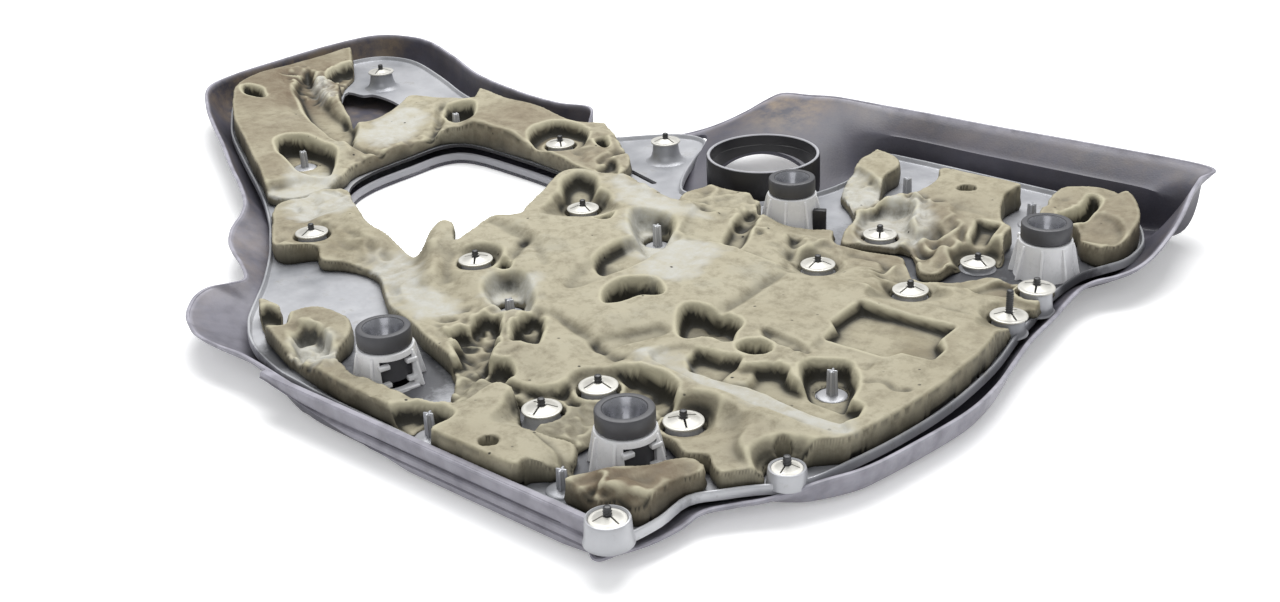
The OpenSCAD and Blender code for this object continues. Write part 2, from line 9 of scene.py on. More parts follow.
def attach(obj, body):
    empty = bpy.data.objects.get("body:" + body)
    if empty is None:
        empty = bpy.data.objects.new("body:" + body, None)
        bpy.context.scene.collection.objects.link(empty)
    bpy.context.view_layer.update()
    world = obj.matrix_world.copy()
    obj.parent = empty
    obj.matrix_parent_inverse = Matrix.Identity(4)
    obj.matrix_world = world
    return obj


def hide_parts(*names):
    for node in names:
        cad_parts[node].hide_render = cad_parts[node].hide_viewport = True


# Engine cover lying on its outer face, foam side up. Lengths below are in millimetres,
# measured from the same point as the part's own outline, and become metres in toFrame.
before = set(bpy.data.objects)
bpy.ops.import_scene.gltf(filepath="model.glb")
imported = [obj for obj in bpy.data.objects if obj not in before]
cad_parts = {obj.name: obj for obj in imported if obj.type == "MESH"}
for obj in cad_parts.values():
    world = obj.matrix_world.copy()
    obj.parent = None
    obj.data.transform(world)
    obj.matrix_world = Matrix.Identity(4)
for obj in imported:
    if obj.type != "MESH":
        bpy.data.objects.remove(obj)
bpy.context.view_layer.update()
middle = (-34.5, 21.4)
plateTop = 14.0
fullTurn = 2 * math.pi


def toFrame(p):
    p = np.asarray(p, float)
    return (p - np.array([middle[0], middle[1], 0])) / 1000


# Colours and nodes
def linear(hexColour):
    parts = [int(hexColour[i:i + 2], 16) / 255 for i in (1, 3, 5)]
    return tuple(c / 12.92 if c <= 0.04045 else ((c + 0.055) / 1.055) ** 2.4 for c in parts) + (1.0,)


def newMaterial(name):
    mat = bpy.data.materials.new(name)
    mat.use_nodes = True
    mat.node_tree.nodes.clear()
    return mat


def findSocket(node, name):
    return node.inputs[int(name) if name.isdigit() else name]


def fillRamp(ramp, stops):
    # each stop is a place with a hex colour or a grey value
    while len(ramp.elements) > 1:
        ramp.elements.remove(ramp.elements[-1])
    for i, (place, colour) in enumerate(stops):
        stop = ramp.elements[0] if i == 0 else ramp.elements.new(place)
        stop.position = place
        stop.color = linear(colour) if isinstance(colour, str) else (colour, colour, colour, 1)


# the output that is meant, for a node whose first output isn't
mainOutput = {"Mix": 2, "Attribute": 2, "TexCoord": 3, "VectorMath": 1}


def addNode(owner, kind, settings=None, **links):
    # "in:Scale" sets a socket by its name and "in:1" by its number, and a link named n1 goes to socket 1
    node = owner.node_tree.nodes.new("ShaderNode" + kind)
    for key, value in (settings or {}).items():
        if key == "stops":
            fillRamp(node.color_ramp, value)
        elif key.startswith("in:"):
            findSocket(node, key[3:]).default_value = value
        else:
            setattr(node, key, value)
    for key, source in links.items():
        name = key[1:] if key[1:].isdigit() else key.replace("_", " ")
        owner.node_tree.links.new(source, findSocket(node, name))
    return node.outputs[mainOutput.get(kind, 0)] if node.outputs else node


# Curves and fields in the plan
def curvePoint(a, b, c, d, t):
    # a point of the smooth curve from b to c, with a before them and d after them
    bend, twist = 2 * a - 5 * b + 4 * c - d, 3 * b - a - 3 * c + d
    return 0.5 * (2 * b + (c - a) * t + bend * t * t + twist * t ** 3)


def smoothLoop(points, steps):
    p = np.asarray(points, float)
    n = len(p)
    return np.array([curvePoint(p[i - 1], p[i], p[(i + 1) % n], p[(i + 2) % n], k / steps)
                     for i in range(n) for k in range(steps)])


def smoothPath(points, steps):
    p = np.asarray(points, float)
    last = len(p) - 1
    return np.array([curvePoint(p[max(i - 1, 0)], p[i], p[i + 1], p[min(i + 2, last)], k / steps)
                     for i in range(last) for k in range(steps)] + [p[-1]])


def insetLoop(loop, d):
    e = np.roll(loop, -1, 0) - np.roll(loop, 1, 0)
    e /= np.linalg.norm(e, axis=1)[:, None] + 1e-9
    return loop + d * np.c_[-e[:, 1], e[:, 0]]


def circle(x, y, radius, count):
    turns = np.linspace(0, fullTurn, count + 1)[:-1]
    return [(x + radius * math.cos(a), y + radius * math.sin(a)) for a in turns]


def aside(centre, turn, out, side=0.0):
    # the place that lies out along a turned direction and to its left
    c, s = math.cos(turn), math.sin(turn)
    return (centre[0] + c * out - s * side, centre[1] + s * out + c * side)


def away(pts, x, y):
    return np.hypot(pts[:, 0] - x, pts[:, 1] - y)


def segmentDistance(pts, a, b):
    ab = b - a
    t = np.clip(((pts - a) @ ab) / (ab @ ab + 1e-12), 0, 1)
    return np.hypot(*(pts - a - t[:, None] * ab).T)


def pathDistance(pts, path):
    best = np.full(len(pts), 1e9)
    for a, b in zip(path[:-1], path[1:]):
        best = np.minimum(best, segmentDistance(pts, a, b))
    return best


def insideDistance(pts, loop):
    # positive inside the closed outline, negative outside
    best = np.full(len(pts), 1e9)
    inside = np.zeros(len(pts), bool)
    for a, b in zip(loop, np.roll(loop, -1, 0)):
        best = np.minimum(best, segmentDistance(pts, a, b))
        if a[1] != b[1]:
            crosses = (a[1] > pts[:, 1]) != (b[1] > pts[:, 1])
            inside ^= crosses & (pts[:, 0] < (b[0] - a[0]) * (pts[:, 1] - a[1]) / (b[1] - a[1]) + a[0])
    return np.where(inside, best, -best)


def depthNear(pts, loop, margin):
    # the same for the points near the loop only; all others count as far outside
    near = (pts > loop.min(0) - margin).all(1) & (pts < loop.max(0) + margin).all(1)
    deep = np.full(len(pts), -1e3)
    deep[near] = insideDistance(pts[near], loop)
    return deep


def softStep(x):
    x = np.clip(x, 0, 1)
    return x * x * (3 - 2 * x)


def softNoise(pts, size, seed, octaves=3):
    cells = 64
    table = np.random.RandomState(seed).rand(cells, cells) * 2 - 1
    total = np.zeros(len(pts))
    gain = 1.0
    for _ in range(octaves):
        q = pts / size
        i = np.floor(q).astype(int)
        f = softStep(q - i)
        x0, y0 = i[:, 0] % cells, i[:, 1] % cells
        x1, y1 = (x0 + 1) % cells, (y0 + 1) % cells
        top = table[x0, y0] * (1 - f[:, 0]) + table[x1, y0] * f[:, 0]
        low = table[x0, y1] * (1 - f[:, 0]) + table[x1, y1] * f[:, 0]
        total += gain * (top * (1 - f[:, 1]) + low * f[:, 1])
        size, gain = size / 2.1, gain * 0.5
    return total


# Pieces from meshes
def pickOnly(*objs):
    bpy.ops.object.select_all(action="DESELECT")
    for o in objs:
        o.select_set(True)
    if objs:
        bpy.context.view_layer.objects.active = objs[0]


def shadeByAngle(obj, degrees=35):
    pickOnly(obj)
    bpy.ops.object.shade_smooth_by_angle(angle=math.radians(degrees))


def turnOutwards(obj):
    pickOnly(obj)
    bpy.ops.object.mode_set(mode="EDIT")
    bpy.ops.mesh.select_all(action="SELECT")
    bpy.ops.mesh.normals_make_consistent(inside=False)
    bpy.ops.object.mode_set(mode="OBJECT")


def makeObject(name, verts, faces, mat, smoothAngle=35, merge=0.0, outwards=True):
    mesh = bpy.data.meshes.new(name)
    mesh.from_pydata([tuple(v) for v in toFrame(verts)], [], [tuple(f) for f in faces])
    mesh.validate()
    obj = bpy.data.objects.new(name, mesh)
    bpy.context.scene.collection.objects.link(obj)
    mesh.materials.append(mat)
    if merge:
        bm = bmesh.new()
        bm.from_mesh(mesh)
        bmesh.ops.remove_doubles(bm, verts=bm.verts, dist=merge)
        bm.to_mesh(mesh)
        bm.free()
    shadeByAngle(obj, smoothAngle)
    if outwards:
        turnOutwards(obj)
    return obj


def applyModifier(obj, kind, **settings):
    pickOnly(obj)
    mod = obj.modifiers.new(kind, kind)
    for key, value in settings.items():
        setattr(mod, key, value)
    bpy.ops.object.modifier_apply(modifier=mod.name)


def carve(obj, cutters, smoothAngle=35):
    for cutter in cutters:
        applyModifier(obj, "BOOLEAN", operation="DIFFERENCE", object=cutter, solver="MANIFOLD")
        bpy.data.objects.remove(cutter, do_unlink=True)
    shadeByAngle(obj, smoothAngle)


def roundEdges(obj, width):
    applyModifier(obj, "BEVEL", width=width / 1000, segments=2, limit_method="ANGLE")


def quadRows(rows, n, closed=False):
    # squares between rows of n points each; a closed set also joins the last row to the first
    return [[j * n + i, j * n + (i + 1) % n, (j + 1) % rows * n + (i + 1) % n, (j + 1) % rows * n + i]
            for j in range(rows if closed else rows - 1) for i in range(n)]


def endCaps(rows, n, flipped=False):
    first, last = list(range(n)), [(rows - 1) * n + i for i in range(n)]
    return [first, last[::-1]] if flipped else [first[::-1], last]


def prism(name, loop, z0, z1, mat):
    n = len(loop)
    verts = np.r_[np.c_[loop, np.full(n, z0)], np.c_[loop, np.full(n, z1)]]
    return makeObject(name, verts, quadRows(2, n) + endCaps(2, n), mat)


def lathe(name, profile, at, mat, steps=64, smoothAngle=35):
    # profile: radius and height pairs, spun round a vertical axis at the given place
    n = len(profile)
    verts = []
    for k in range(steps):
        a = fullTurn * k / steps
        verts += [(at[0] + r * math.cos(a), at[1] + r * math.sin(a), z) for r, z in profile]
    faces = [[k * n + j, (k + 1) % steps * n + j, (k + 1) % steps * n + (j + 1) % n, k * n + (j + 1) % n]
             for k in range(steps) for j in range(n)]
    return makeObject(name, verts, faces, mat, smoothAngle, merge=1e-6)


def box(name, centre, size, mat, turn=0.0, rounding=0.0, taper=1.0):
    pickOnly()
    bpy.ops.mesh.primitive_cube_add(size=1)
    obj = bpy.context.active_object
    obj.name = name
    for v in obj.data.vertices:
        x, y, z = v.co.x * size[0], v.co.y * size[1], v.co.z * size[2]
        if v.co.z > 0:
            x, y = x * taper, y * taper
        v.co = Vector(toFrame((*aside(centre, turn, x, y), centre[2] + z)))
    obj.data.materials.append(mat)
    if rounding:
        roundEdges(obj, rounding)
    shadeByAngle(obj)
    return obj


def join(name, objs):
    pickOnly(*objs)
    bpy.ops.object.join()
    objs[0].name = name
    objs[0].data.name = name
    return objs[0]


def addAttribute(obj, name, values):
    att = obj.data.attributes.new(name, "FLOAT", "POINT")
    att.data.foreach_set("value", np.asarray(values, np.float32))


print("stage: helpers ready")

# Materials
coverLook = {"deep": "#403f48", "base": "#4a4954", "lit": "#5b5a66", "worn": "#a3a1ab", "dust": "#7d6f60",
             "grain": 1.1}
plateLook = {"shade": "#8f9196", "base": "#b1b2b6", "lit": "#c8c9cc", "dust": "#7d7868", "grime": "#34353a"}
# middle x and y and reach of each stretch of the plate darkened by grime and painted shade
shadeAndGrimeSpots = [(252, 100, 30), (73, -176, 46), (228, -167, 50), (175, -145, 48), (200, 118, 60),
              (279, 135, 42), (121, 105, 26), (10, -180, 34)]
# low is the colour of painted shade, rub that of a painted highlight along raised edges that also stands for
# rub
foamLook = {"deep": "#857c64", "top": "#a8a18a", "lit": "#b0aa94", "cool": "#9f9d90", "low": "#28261e",
            "stain": "#746c57", "dirt": "#6a5b47", "grey": "#bfbfb9", "rub": "#bab49b", "speck": "#24221c"}
# small parts, each one colour with its gloss; scale is that of its mottling and mottle its depth
smallLooks = {
    # zinc plating on spring steel: pale, slightly dull metal
    "zincPlatedSpringSteel": {"base": "#cbc9c2", "gloss": 0.4, "metallic": 0.35, "scale": 140.0,
                              "mottle": 0.08},
    # moulded pale polypropylene with a polished face
    "paleTalcPolypropylene": {"base": "#f4f4f6", "gloss": 0.26, "scale": 90.0, "mottle": 0.1},
    # moulded black nylon, slightly shiny
    "blackNylonStud": {"base": "#3a3a3c", "gloss": 0.35},
    # compression-moulded rubber, dark grey and dull
    "mouldedRubber": {"base": "#4c4c50", "gloss": 0.45, "ior": 1.52},
    # rubber polished by the ball that has gone in and out
    "polishedRubberFunnel": {"base": "#a9aab0", "gloss": 0.24, "metallic": 0.7, "scale": 200.0,
                             "mottle": 0.25, "strength": 0.3},
    # cut edge of the plate, painted black for the shade it lies in
    "paintedShadeEdge": {"base": "#1c1c20", "gloss": 0.7},
    # moulded black polyamide, and a pale band painted on its rim as a highlight
    # "paintedRimHighlight": {"base": "#b4b4b9", "gloss": 0.4},
    "blackPolyamide": {"base": "#1d1c20", "gloss": 0.4, "ior": 1.53},
    "paintedRimHighlight": {"base": "#b4b4b9", "gloss": 0.4},
    # the cover's plastic where it is worn pale round the opening
    "paleWornPolypropylene": {"base": "#a5a5ab", "gloss": 0.45}}


def coverPlastic():
    # Grained polypropylene moulding: dull charcoal with a violet tinge, pale where the lip has rubbed
    mat = newMaterial("grainedPolypropylene")
    coord = addNode(mat, "TexCoord")
    cloud = addNode(mat, "TexNoise", {"in:Scale": 28.0, "in:Detail": 6.0, "in:Roughness": 0.6}, Vector=coord)
    stops = [(0.3, coverLook["deep"]), (0.55, coverLook["base"]), (0.8, coverLook["lit"])]
    tone = addNode(mat, "ValToRGB", {"stops": stops}, Fac=cloud)
    # dust lies in blotches about 20 mm across where the dust attribute lets it
    blotch = addNode(mat, "TexNoise", {"in:Scale": 55.0, "in:Detail": 8.0, "in:Roughness": 0.7}, Vector=coord)
    blotchCut = addNode(mat, "ValToRGB", {"stops": [(0.38, 0.0), (0.62, 1.0)]}, Fac=blotch)
    dustHere = addNode(mat, "Attribute", {"attribute_name": "dust"})
    dustAmount = addNode(mat, "Math", {"operation": "MULTIPLY"}, n0=blotchCut, n1=dustHere)
    dusty = addNode(mat, "Mix", {"data_type": "RGBA", "in:7": linear(coverLook["dust"])},
                    n0=dustAmount, n6=tone)
    rub = addNode(mat, "TexNoise", {"in:Scale": 90.0, "in:Detail": 4.0}, Vector=coord)
    rubCut = addNode(mat, "ValToRGB", {"stops": [(0.25, 0.45), (0.6, 1.0)]}, Fac=rub)
    wearHere = addNode(mat, "Attribute", {"attribute_name": "wear"})
    wearAmount = addNode(mat, "Math", {"operation": "MULTIPLY"}, n0=wearHere, n1=rubCut)
    worn = addNode(mat, "Mix", {"data_type": "RGBA", "in:7": linear(coverLook["worn"])},
                   n0=wearAmount, n6=dusty)
    # mould grain drawn at about 1 mm so that it shows
    grain = addNode(mat, "TexNoise", {"in:Scale": 900.0 / coverLook["grain"], "in:Detail": 2.0}, Vector=coord)
    bump = addNode(mat, "Bump", {"in:Strength": 0.25, "in:Distance": 0.0004}, Height=grain)
    rough = addNode(mat, "ValToRGB", {"stops": [(0.3, 0.40), (0.7, 0.56)]}, Fac=cloud)
    shader = addNode(mat, "BsdfPrincipled", {"in:IOR": 1.49}, Base_Color=worn, Roughness=rough, Normal=bump)
    addNode(mat, "OutputMaterial", Surface=shader)
    return mat


def platePlastic(name, spots):
    # Silver-grey talc-filled polypropylene, smooth from a polished mould, with dust, and dark patches of
    # grime and painted shade
    mat = newMaterial(name)
    coord = addNode(mat, "TexCoord")
    cloud = addNode(mat, "TexNoise", {"in:Scale": 18.0, "in:Detail": 5.0}, Vector=coord)
    stops = [(0.3, plateLook["shade"]), (0.5, plateLook["base"]), (0.75, plateLook["lit"])]
    mixed = addNode(mat, "ValToRGB", {"stops": stops}, Fac=cloud)
    grime = addNode(mat, "TexNoise", {"in:Scale": 70.0, "in:Detail": 9.0, "in:Roughness": 0.75}, Vector=coord)
    dusty = addNode(mat, "ValToRGB", {"stops": [(0.56, 0.0), (0.72, 0.55)]}, Fac=grime)
    mixed = addNode(mat, "Mix", {"data_type": "RGBA", "in:7": linear(plateLook["dust"])}, n0=dusty, n6=mixed)
    # dark slate patches of grime and painted shade lie round the feet of the sleeves and under the torn foam
    for x, y, reach in spots:
        spot = toFrame([(x, y, plateTop)])[0]
        near = addNode(mat, "VectorMath", {"operation": "DISTANCE", "in:1": spot}, n0=coord)
        fade = addNode(mat, "Math", {"operation": "MULTIPLY_ADD", "in:1": -1000 / reach, "in:2": 1.1},
                       n0=near)
        uneven = addNode(mat, "Math", {"operation": "MULTIPLY_ADD", "in:1": 0.9}, n0=grime, n2=fade)
        cut = addNode(mat, "ValToRGB", {"stops": [(0.62, 0.0), (0.95, 0.86)]}, Fac=uneven)
        mixed = addNode(mat, "Mix", {"data_type": "RGBA", "in:7": linear(plateLook["grime"])},
                        n0=cut, n6=mixed)
    bump = addNode(mat, "Bump", {"in:Strength": 0.15, "in:Distance": 0.0005}, Height=grime)
    rough = addNode(mat, "ValToRGB", {"stops": [(0.4, 0.28), (0.7, 0.5)]}, Fac=grime)
    shader = addNode(mat, "BsdfPrincipled", {"in:IOR": 1.5, "in:Metallic": 0.25},
                     Base_Color=mixed, Roughness=rough, Normal=bump)
    addNode(mat, "OutputMaterial", Surface=shader)
    return mat


def pressedFoam():
    # Heat-pressed acoustic foam under a thin skin: khaki, smooth on top, stained, pitted, with painted shade
    # on its sides and in its hollows and a painted highlight along raised edges
    mat = newMaterial("pressedAcousticFoam")
    coord = addNode(mat, "TexCoord")
    big = addNode(mat, "TexNoise", {"in:Scale": 16.0, "in:Detail": 7.0, "in:Roughness": 0.62}, Vector=coord)
    stops = [(0.3, foamLook["deep"]), (0.44, foamLook["top"]), (0.6, foamLook["lit"]),
             (0.8, foamLook["cool"])]
    colour = addNode(mat, "ValToRGB", {"stops": stops}, Fac=big)
    fine = addNode(mat, "TexNoise", {"in:Scale": 120.0, "in:Detail": 8.0, "in:Roughness": 0.7}, Vector=coord)
    stained = addNode(mat, "ValToRGB", {"stops": [(0.46, 0.0), (0.7, 0.7)]}, Fac=fine)
    # brown dirt over the arm, the far side and the corner by the rail
    dirtCloud = addNode(mat, "TexNoise", {"in:Scale": 45.0, "in:Detail": 9.0, "in:Roughness": 0.72,
                                          "in:Distortion": 0.6}, Vector=coord)
    dirtCut = addNode(mat, "ValToRGB", {"stops": [(0.3, 0.45), (0.6, 1.0)]}, Fac=dirtCloud)
    dirtHere = addNode(mat, "Attribute", {"attribute_name": "dirt"})
    dirty = addNode(mat, "Math", {"operation": "MULTIPLY"}, n0=dirtHere, n1=dirtCut)
    # painted shade: the low attribute darkens hollows, steep sides, the side walls and the underside
    paintedShadeHere = addNode(mat, "Attribute", {"attribute_name": "low"})
    highlightAndRubHere = addNode(mat, "Attribute", {"attribute_name": "rub"})
    # a grey film in patches where the skin has gone
    filmCut = addNode(mat, "ValToRGB", {"stops": [(0.35, 0.25), (0.6, 0.8)]}, Fac=fine)
    filmHere = addNode(mat, "Attribute", {"attribute_name": "film"})
    filmed = addNode(mat, "Math", {"operation": "MULTIPLY"}, n0=filmHere, n1=filmCut)
    # dark pits about 1 mm across, some 12 mm apart
    pits = addNode(mat, "TexVoronoi", {"in:Scale": 85.0}, Vector=coord)
    pitCut = addNode(mat, "ValToRGB", {"stops": [(0.05, 1.0), (0.09, 0.0)]}, Fac=pits)
    pitWhere = addNode(mat, "TexNoise", {"in:Scale": 40.0}, Vector=coord)
    pitGate = addNode(mat, "ValToRGB", {"stops": [(0.5, 0.0), (0.58, 1.0)]}, Fac=pitWhere)
    pitted = addNode(mat, "Math", {"operation": "MULTIPLY"}, n0=pitCut, n1=pitGate)
    for look, amount in (("stain", stained), ("dirt", dirty), ("low", paintedShadeHere), ("rub", highlightAndRubHere),
                         ("grey", filmed), ("speck", pitted)):
        colour = addNode(mat, "Mix", {"data_type": "RGBA", "in:7": linear(foamLook[look])},
                         n0=amount, n6=colour)
    # skin wrinkles about 4 mm apart
    wrinkle = addNode(mat, "TexNoise", {"in:Scale": 230.0, "in:Detail": 5.0, "in:Distortion": 0.8},
                      Vector=coord)
    height = addNode(mat, "Math", {"operation": "SUBTRACT"}, n0=wrinkle, n1=pitted)
    bump = addNode(mat, "Bump", {"in:Strength": 0.45, "in:Distance": 0.0008}, Height=height)
    rough = addNode(mat, "ValToRGB", {"stops": [(0.35, 0.58), (0.65, 0.75)]}, Fac=big)
    shader = addNode(mat, "BsdfPrincipled", {"in:IOR": 1.45, "in:Specular IOR Level": 0.4},
                     Base_Color=colour, Roughness=rough, Normal=bump)
    addNode(mat, "OutputMaterial", Surface=shader)
    return mat


def mottledSurface(name, base, gloss, metallic=0.0, ior=1.5, scale=60.0, mottle=0.12, strength=0.15):
    # one colour with slight mottling in its tone and gloss, as moulded or plated small parts have
    mat = newMaterial(name)
    coord = addNode(mat, "TexCoord")
    cloud = addNode(mat, "TexNoise", {"in:Scale": scale, "in:Detail": 6.0, "in:Roughness": 0.65},
                    Vector=coord)
    darker = [c * (1 - mottle * 2) for c in linear(base)[:3]] + [1]
    tone = addNode(mat, "Mix", {"data_type": "RGBA", "in:6": darker, "in:7": linear(base)}, n0=cloud)
    stops = [(0.35, max(gloss - 0.06, 0.02)), (0.65, gloss + 0.1)]
    rough = addNode(mat, "ValToRGB", {"stops": stops}, Fac=cloud)
    bump = addNode(mat, "Bump", {"in:Strength": strength, "in:Distance": 0.0003}, Height=cloud)
    body = {"in:Metallic": metallic} if metallic else {"in:Metallic": metallic, "in:IOR": ior}
    shader = addNode(mat, "BsdfPrincipled", body, Base_Color=tone, Roughness=rough, Normal=bump)
    addNode(mat, "OutputMaterial", Surface=shader)
    return mat


coverMat = coverPlastic()
plateMat = platePlastic("silverTalcPolypropylene", shadeAndGrimeSpots)
bossMat = platePlastic("cleanTalcPolypropylene", [])
foamMat = pressedFoam()
small = {name: mottledSurface(name, **look) for name, look in smallLooks.items()}
sleeveMat, collarMat = small["paleTalcPolypropylene"], small["blackPolyamide"]
print("stage: materials ready")

# Outer cover
cover = {"wall": 2.5, "rowsPerSpan": 3, "columnsPerSpan": 8, "collarHole": 37.5, "plateClearance": 0.5}
collarAt = (63, 157)
# x, y, z of the lip over the plate, x, y of the foot, kind of wall (0 flared, 1 upright, 2 wing, 3 hump)
rim = [
    [260, -227, -5, 246, -202, 0], [266, -216, -6, 246, -198, 0], [272, -202, -6, 250, -190, 0],
    [275, -186, -6, 252, -180, 0], [277, -172, -4, 256, -164, 0], [286, -160, -3, 266, -148, 0],
    [295, -150, -2, 276, -136, 0], [303, -139, 0, 284, -128, 0.5], [310, -128, 2, 292, -119, 0.8],
    [320, -105, 2, 300, -98, 1], [326, -71, 2, 306, -66, 1], [330, -35, 2, 310, -33, 1],
    [328, -5, 2, 308, -5, 0.9], [322, 25, 2, 301, 22, 0.6], [317, 50, 2, 295, 50, 0.4],
    [314, 80, 2, 291, 82, 0.2], [311, 100, 2, 287, 103, 0], [310, 118, 3, 284, 122, 0],
    [312, 131, 3, 285, 137, 0], [319, 141, 4, 291, 151, 0], [325, 152, 6, 296, 163, 0],
    [328, 166, 9, 297, 177, 0], [329, 184, 15, 296, 194, 0], [327, 206, 21, 293, 210, 0],
    [321, 232, 25, 289, 226, 0.3], [318, 250, 27, 286, 237, 1], [314, 269, 28, 283, 243, 2],
    [245, 268, 28, 235, 243, 2], [175, 266, 27, 170, 243, 2], [115, 264, 27, 112, 243, 2],
    [82, 262, 27, 100, 228, 2.5], [50, 260, 27, 98, 200, 3], [28, 258, 25, 96, 172, 3],
    [8, 254, 24, 88, 144, 3], [2, 240, 21, 70, 122, 3], [-2, 224, 17, 48, 112, 3],
    [-14, 210, 10, 26, 108, 3], [-32, 206, 2, 2, 112, 2.6], [-50, 194, -3, -20, 118, 2],
    [-64, 178, -5, -42, 138, 1], [-82, 165, -5, -74, 138, 1], [-96, 164, 6, -96, 136, 1],
    [-104, 174, 15, -113, 146, 1], [-130, 167, 16, -135, 144, 1], [-172, 170, 16, -177, 147, 1],
    [-229, 183, 16, -238, 160, 1], [-281, 206, 16, -288, 182, 1], [-331, 225, 16, -335, 200, 1],
    [-362, 225, 16, -355, 201, 1], [-387, 211, 16, -367, 192, 1], [-397, 170, 16, -373, 162, 1],
    [-399, 120, 16, -375, 118, 1], [-398, 76, 16, -373, 79, 1], [-390, 45, 15, -364, 58, 0.7],
    [-355, 18, 13, -337, 40, 0.5], [-314, -5, 11, -302, 16, 0.4], [-280, -23, 11, -268, -2, 0.4],
    [-239, -46, 10, -226, -26, 0.4], [-208, -62, 9, -195, -42, 0.4], [-181, -78, 8, -166, -57, 0.3],
    [-167, -91, 7, -144, -68, 0], [-159, -102, 6, -130, -76, 0], [-151, -111, 6, -120, -88, 0],
    [-139, -121, 5, -112, -101, 0], [-122, -130, 5, -98, -113, 0], [-104, -138, 5, -82, -124, 0],
    [-86, -149, 5, -66, -136, 0], [-86, -160, 6, -58, -146, 0], [-91, -170, 6, -52, -152, 0],
    [-88, -181, 6, -46, -158, 0], [-80, -191, 6, -40, -166, 0], [-70, -200, 6, -32, -173, 0],
    [-57, -207, 6, -24, -179, 0], [-43, -212, 6, -16, -184, 0], [-24, -213, 6, -4, -188, 0],
    [-6, -212, 6, 8, -190, 0], [16, -214, 6, 22, -192, 0.4], [48, -218, 6, 48, -199, 1],
    [72, -220, 7, 72, -203, 1], [150, -221, 7, 150, -204, 1], [225, -221, 7, 222, -204, 1],
    [249, -221, 6, 237, -204, 1]]
# how far out and how far up the wall has come at seven even steps, for each kind
wallOut = np.array([[0, 0.17, 0.33, 0.5, 0.67, 0.84, 1], [0, 0.45, 0.74, 0.88, 0.95, 0.98, 1],
                    [0, 0.1, 0.16, 0.18, 0.26, 0.62, 1], [0, 0.15, 0.3, 0.5, 0.7, 0.88, 1]])
wallUp = np.array([[0, 0.1, 0.26, 0.44, 0.63, 0.82, 1], [0, 0.03, 0.13, 0.32, 0.56, 0.79, 1],
                   [0, 0.02, 0.14, 0.6, 0.66, 0.84, 1], [0, 0.06, 0.24, 0.56, 0.8, 0.94, 1]])
opening = [[-168, 20], [-160, -5], [-142, -22], [-122, -33], [-95, -49], [-78, -57], [-40, -66], [-13, -72],
           [-8, -58], [-8, -34], [-17, -20], [-3, -12], [2, -4], [-4, 5], [-14, 28], [-28, 53], [-31, 70],
           [-30, 86], [-60, 92], [-100, 96], [-150, 97], [-166, 84], [-168, 55]]
plateEdge = [[250, -213], [254, -223], [262, -226], [268, -214], [271, -194], [270, -174], [279, -161],
             [288, -150], [297, -141], [305, -128], [310, -108], [316, -75], [319, -35], [316, 12],
             [308, 52], [304, 78], [300, 98], [299, 118], [300, 138], [305, 152], [311, 168], [311, 186],
             [306, 203], [292, 224], [270, 239], [225, 241], [112, 241], [106, 232], [110, 205], [110, 170],
             [100, 140], [82, 118], [60, 110], [38, 109], [28, 116], [15, 136], [1, 165], [-8, 186],
             [-20, 195], [-38, 192], [-55, 178], [-72, 161], [-92, 150], [-130, 153], [-172, 156],
             [-229, 169], [-281, 191], [-331, 209], [-360, 208], [-377, 195], [-384, 165], [-386, 120],
             [-384, 78], [-372, 54], [-335, 24], [-307, 5], [-257, -22], [-196, -54], [-152, -81],
             [-125, -101], [-106, -116], [-84, -136], [-72, -148], [-48, -174], [-36, -184], [-24, -192],
             [-6, -200], [20, -207], [40, -209], [69, -211], [150, -213]]
openingLoop = smoothLoop(opening, 4)


def wallRow(table, kind, at):
    # value of a wall section at a fraction of its rows, eased between the given rows
    low = np.minimum(np.floor(kind).astype(int), 2)
    f = (kind - low)[:, None]
    rows = table[low] * (1 - f) + table[low + 1] * f
    last = rows.shape[1] - 1
    x = at * last
    j = min(int(x), last - 1)
    return curvePoint(rows[:, max(j - 1, 0)], rows[:, j], rows[:, j + 1], rows[:, min(j + 2, last)], x - j)


def coverRows(st, out):
    # the shell as rows of points: up its inner face, over the lip and down its outer face
    kind = np.clip(st[:, 5], 0, 3)
    lip, foot = st[:, :2], st[:, 3:5]
    t = cover["wall"]
    count = 6 * cover["rowsPerSpan"]
    inner = []
    for k in range(count + 1):
        u, v = wallRow(wallOut, kind, k / count), wallRow(wallUp, kind, k / count)
        xy = foot + (lip - out * t - foot) * u[:, None]
        z = t + (st[:, 2] + plateTop - t) * v
        inner.append(np.c_[xy, z])
    inner = np.array(inner)
    outer = []
    for k in range(count + 1):
        a, b = inner[max(k - 1, 0)], inner[min(k + 1, count)]
        du, dz = np.hypot(*(b - a)[:, :2].T), (b - a)[:, 2]
        q = np.hypot(du, dz)
        outer.append(inner[k] + t * np.c_[out * (dz / q)[:, None], -du / q])
    outer = np.array(outer)
    outer[0] = inner[0] - [0, 0, t]
    outer[:, :, 2] = np.maximum(outer[:, :, 2], 0)
    # rounded lip bead of three rows between the two walls
    a, b = inner[-1], outer[-1].copy()
    b[:, :2] = a[:, :2] + out * t
    b[:, 2] = a[:, 2]
    bead = [a * (1 - f) + b * f + np.array([0, 0, h]) for f, h in ((0.12, 0.5), (0.5, 0.75), (0.88, 0.5))]
    outer[-1] = b - [0, 0, 0.4]
    inner[-1, :, 2] -= 0.1
    return list(inner) + bead + list(outer[::-1]), count


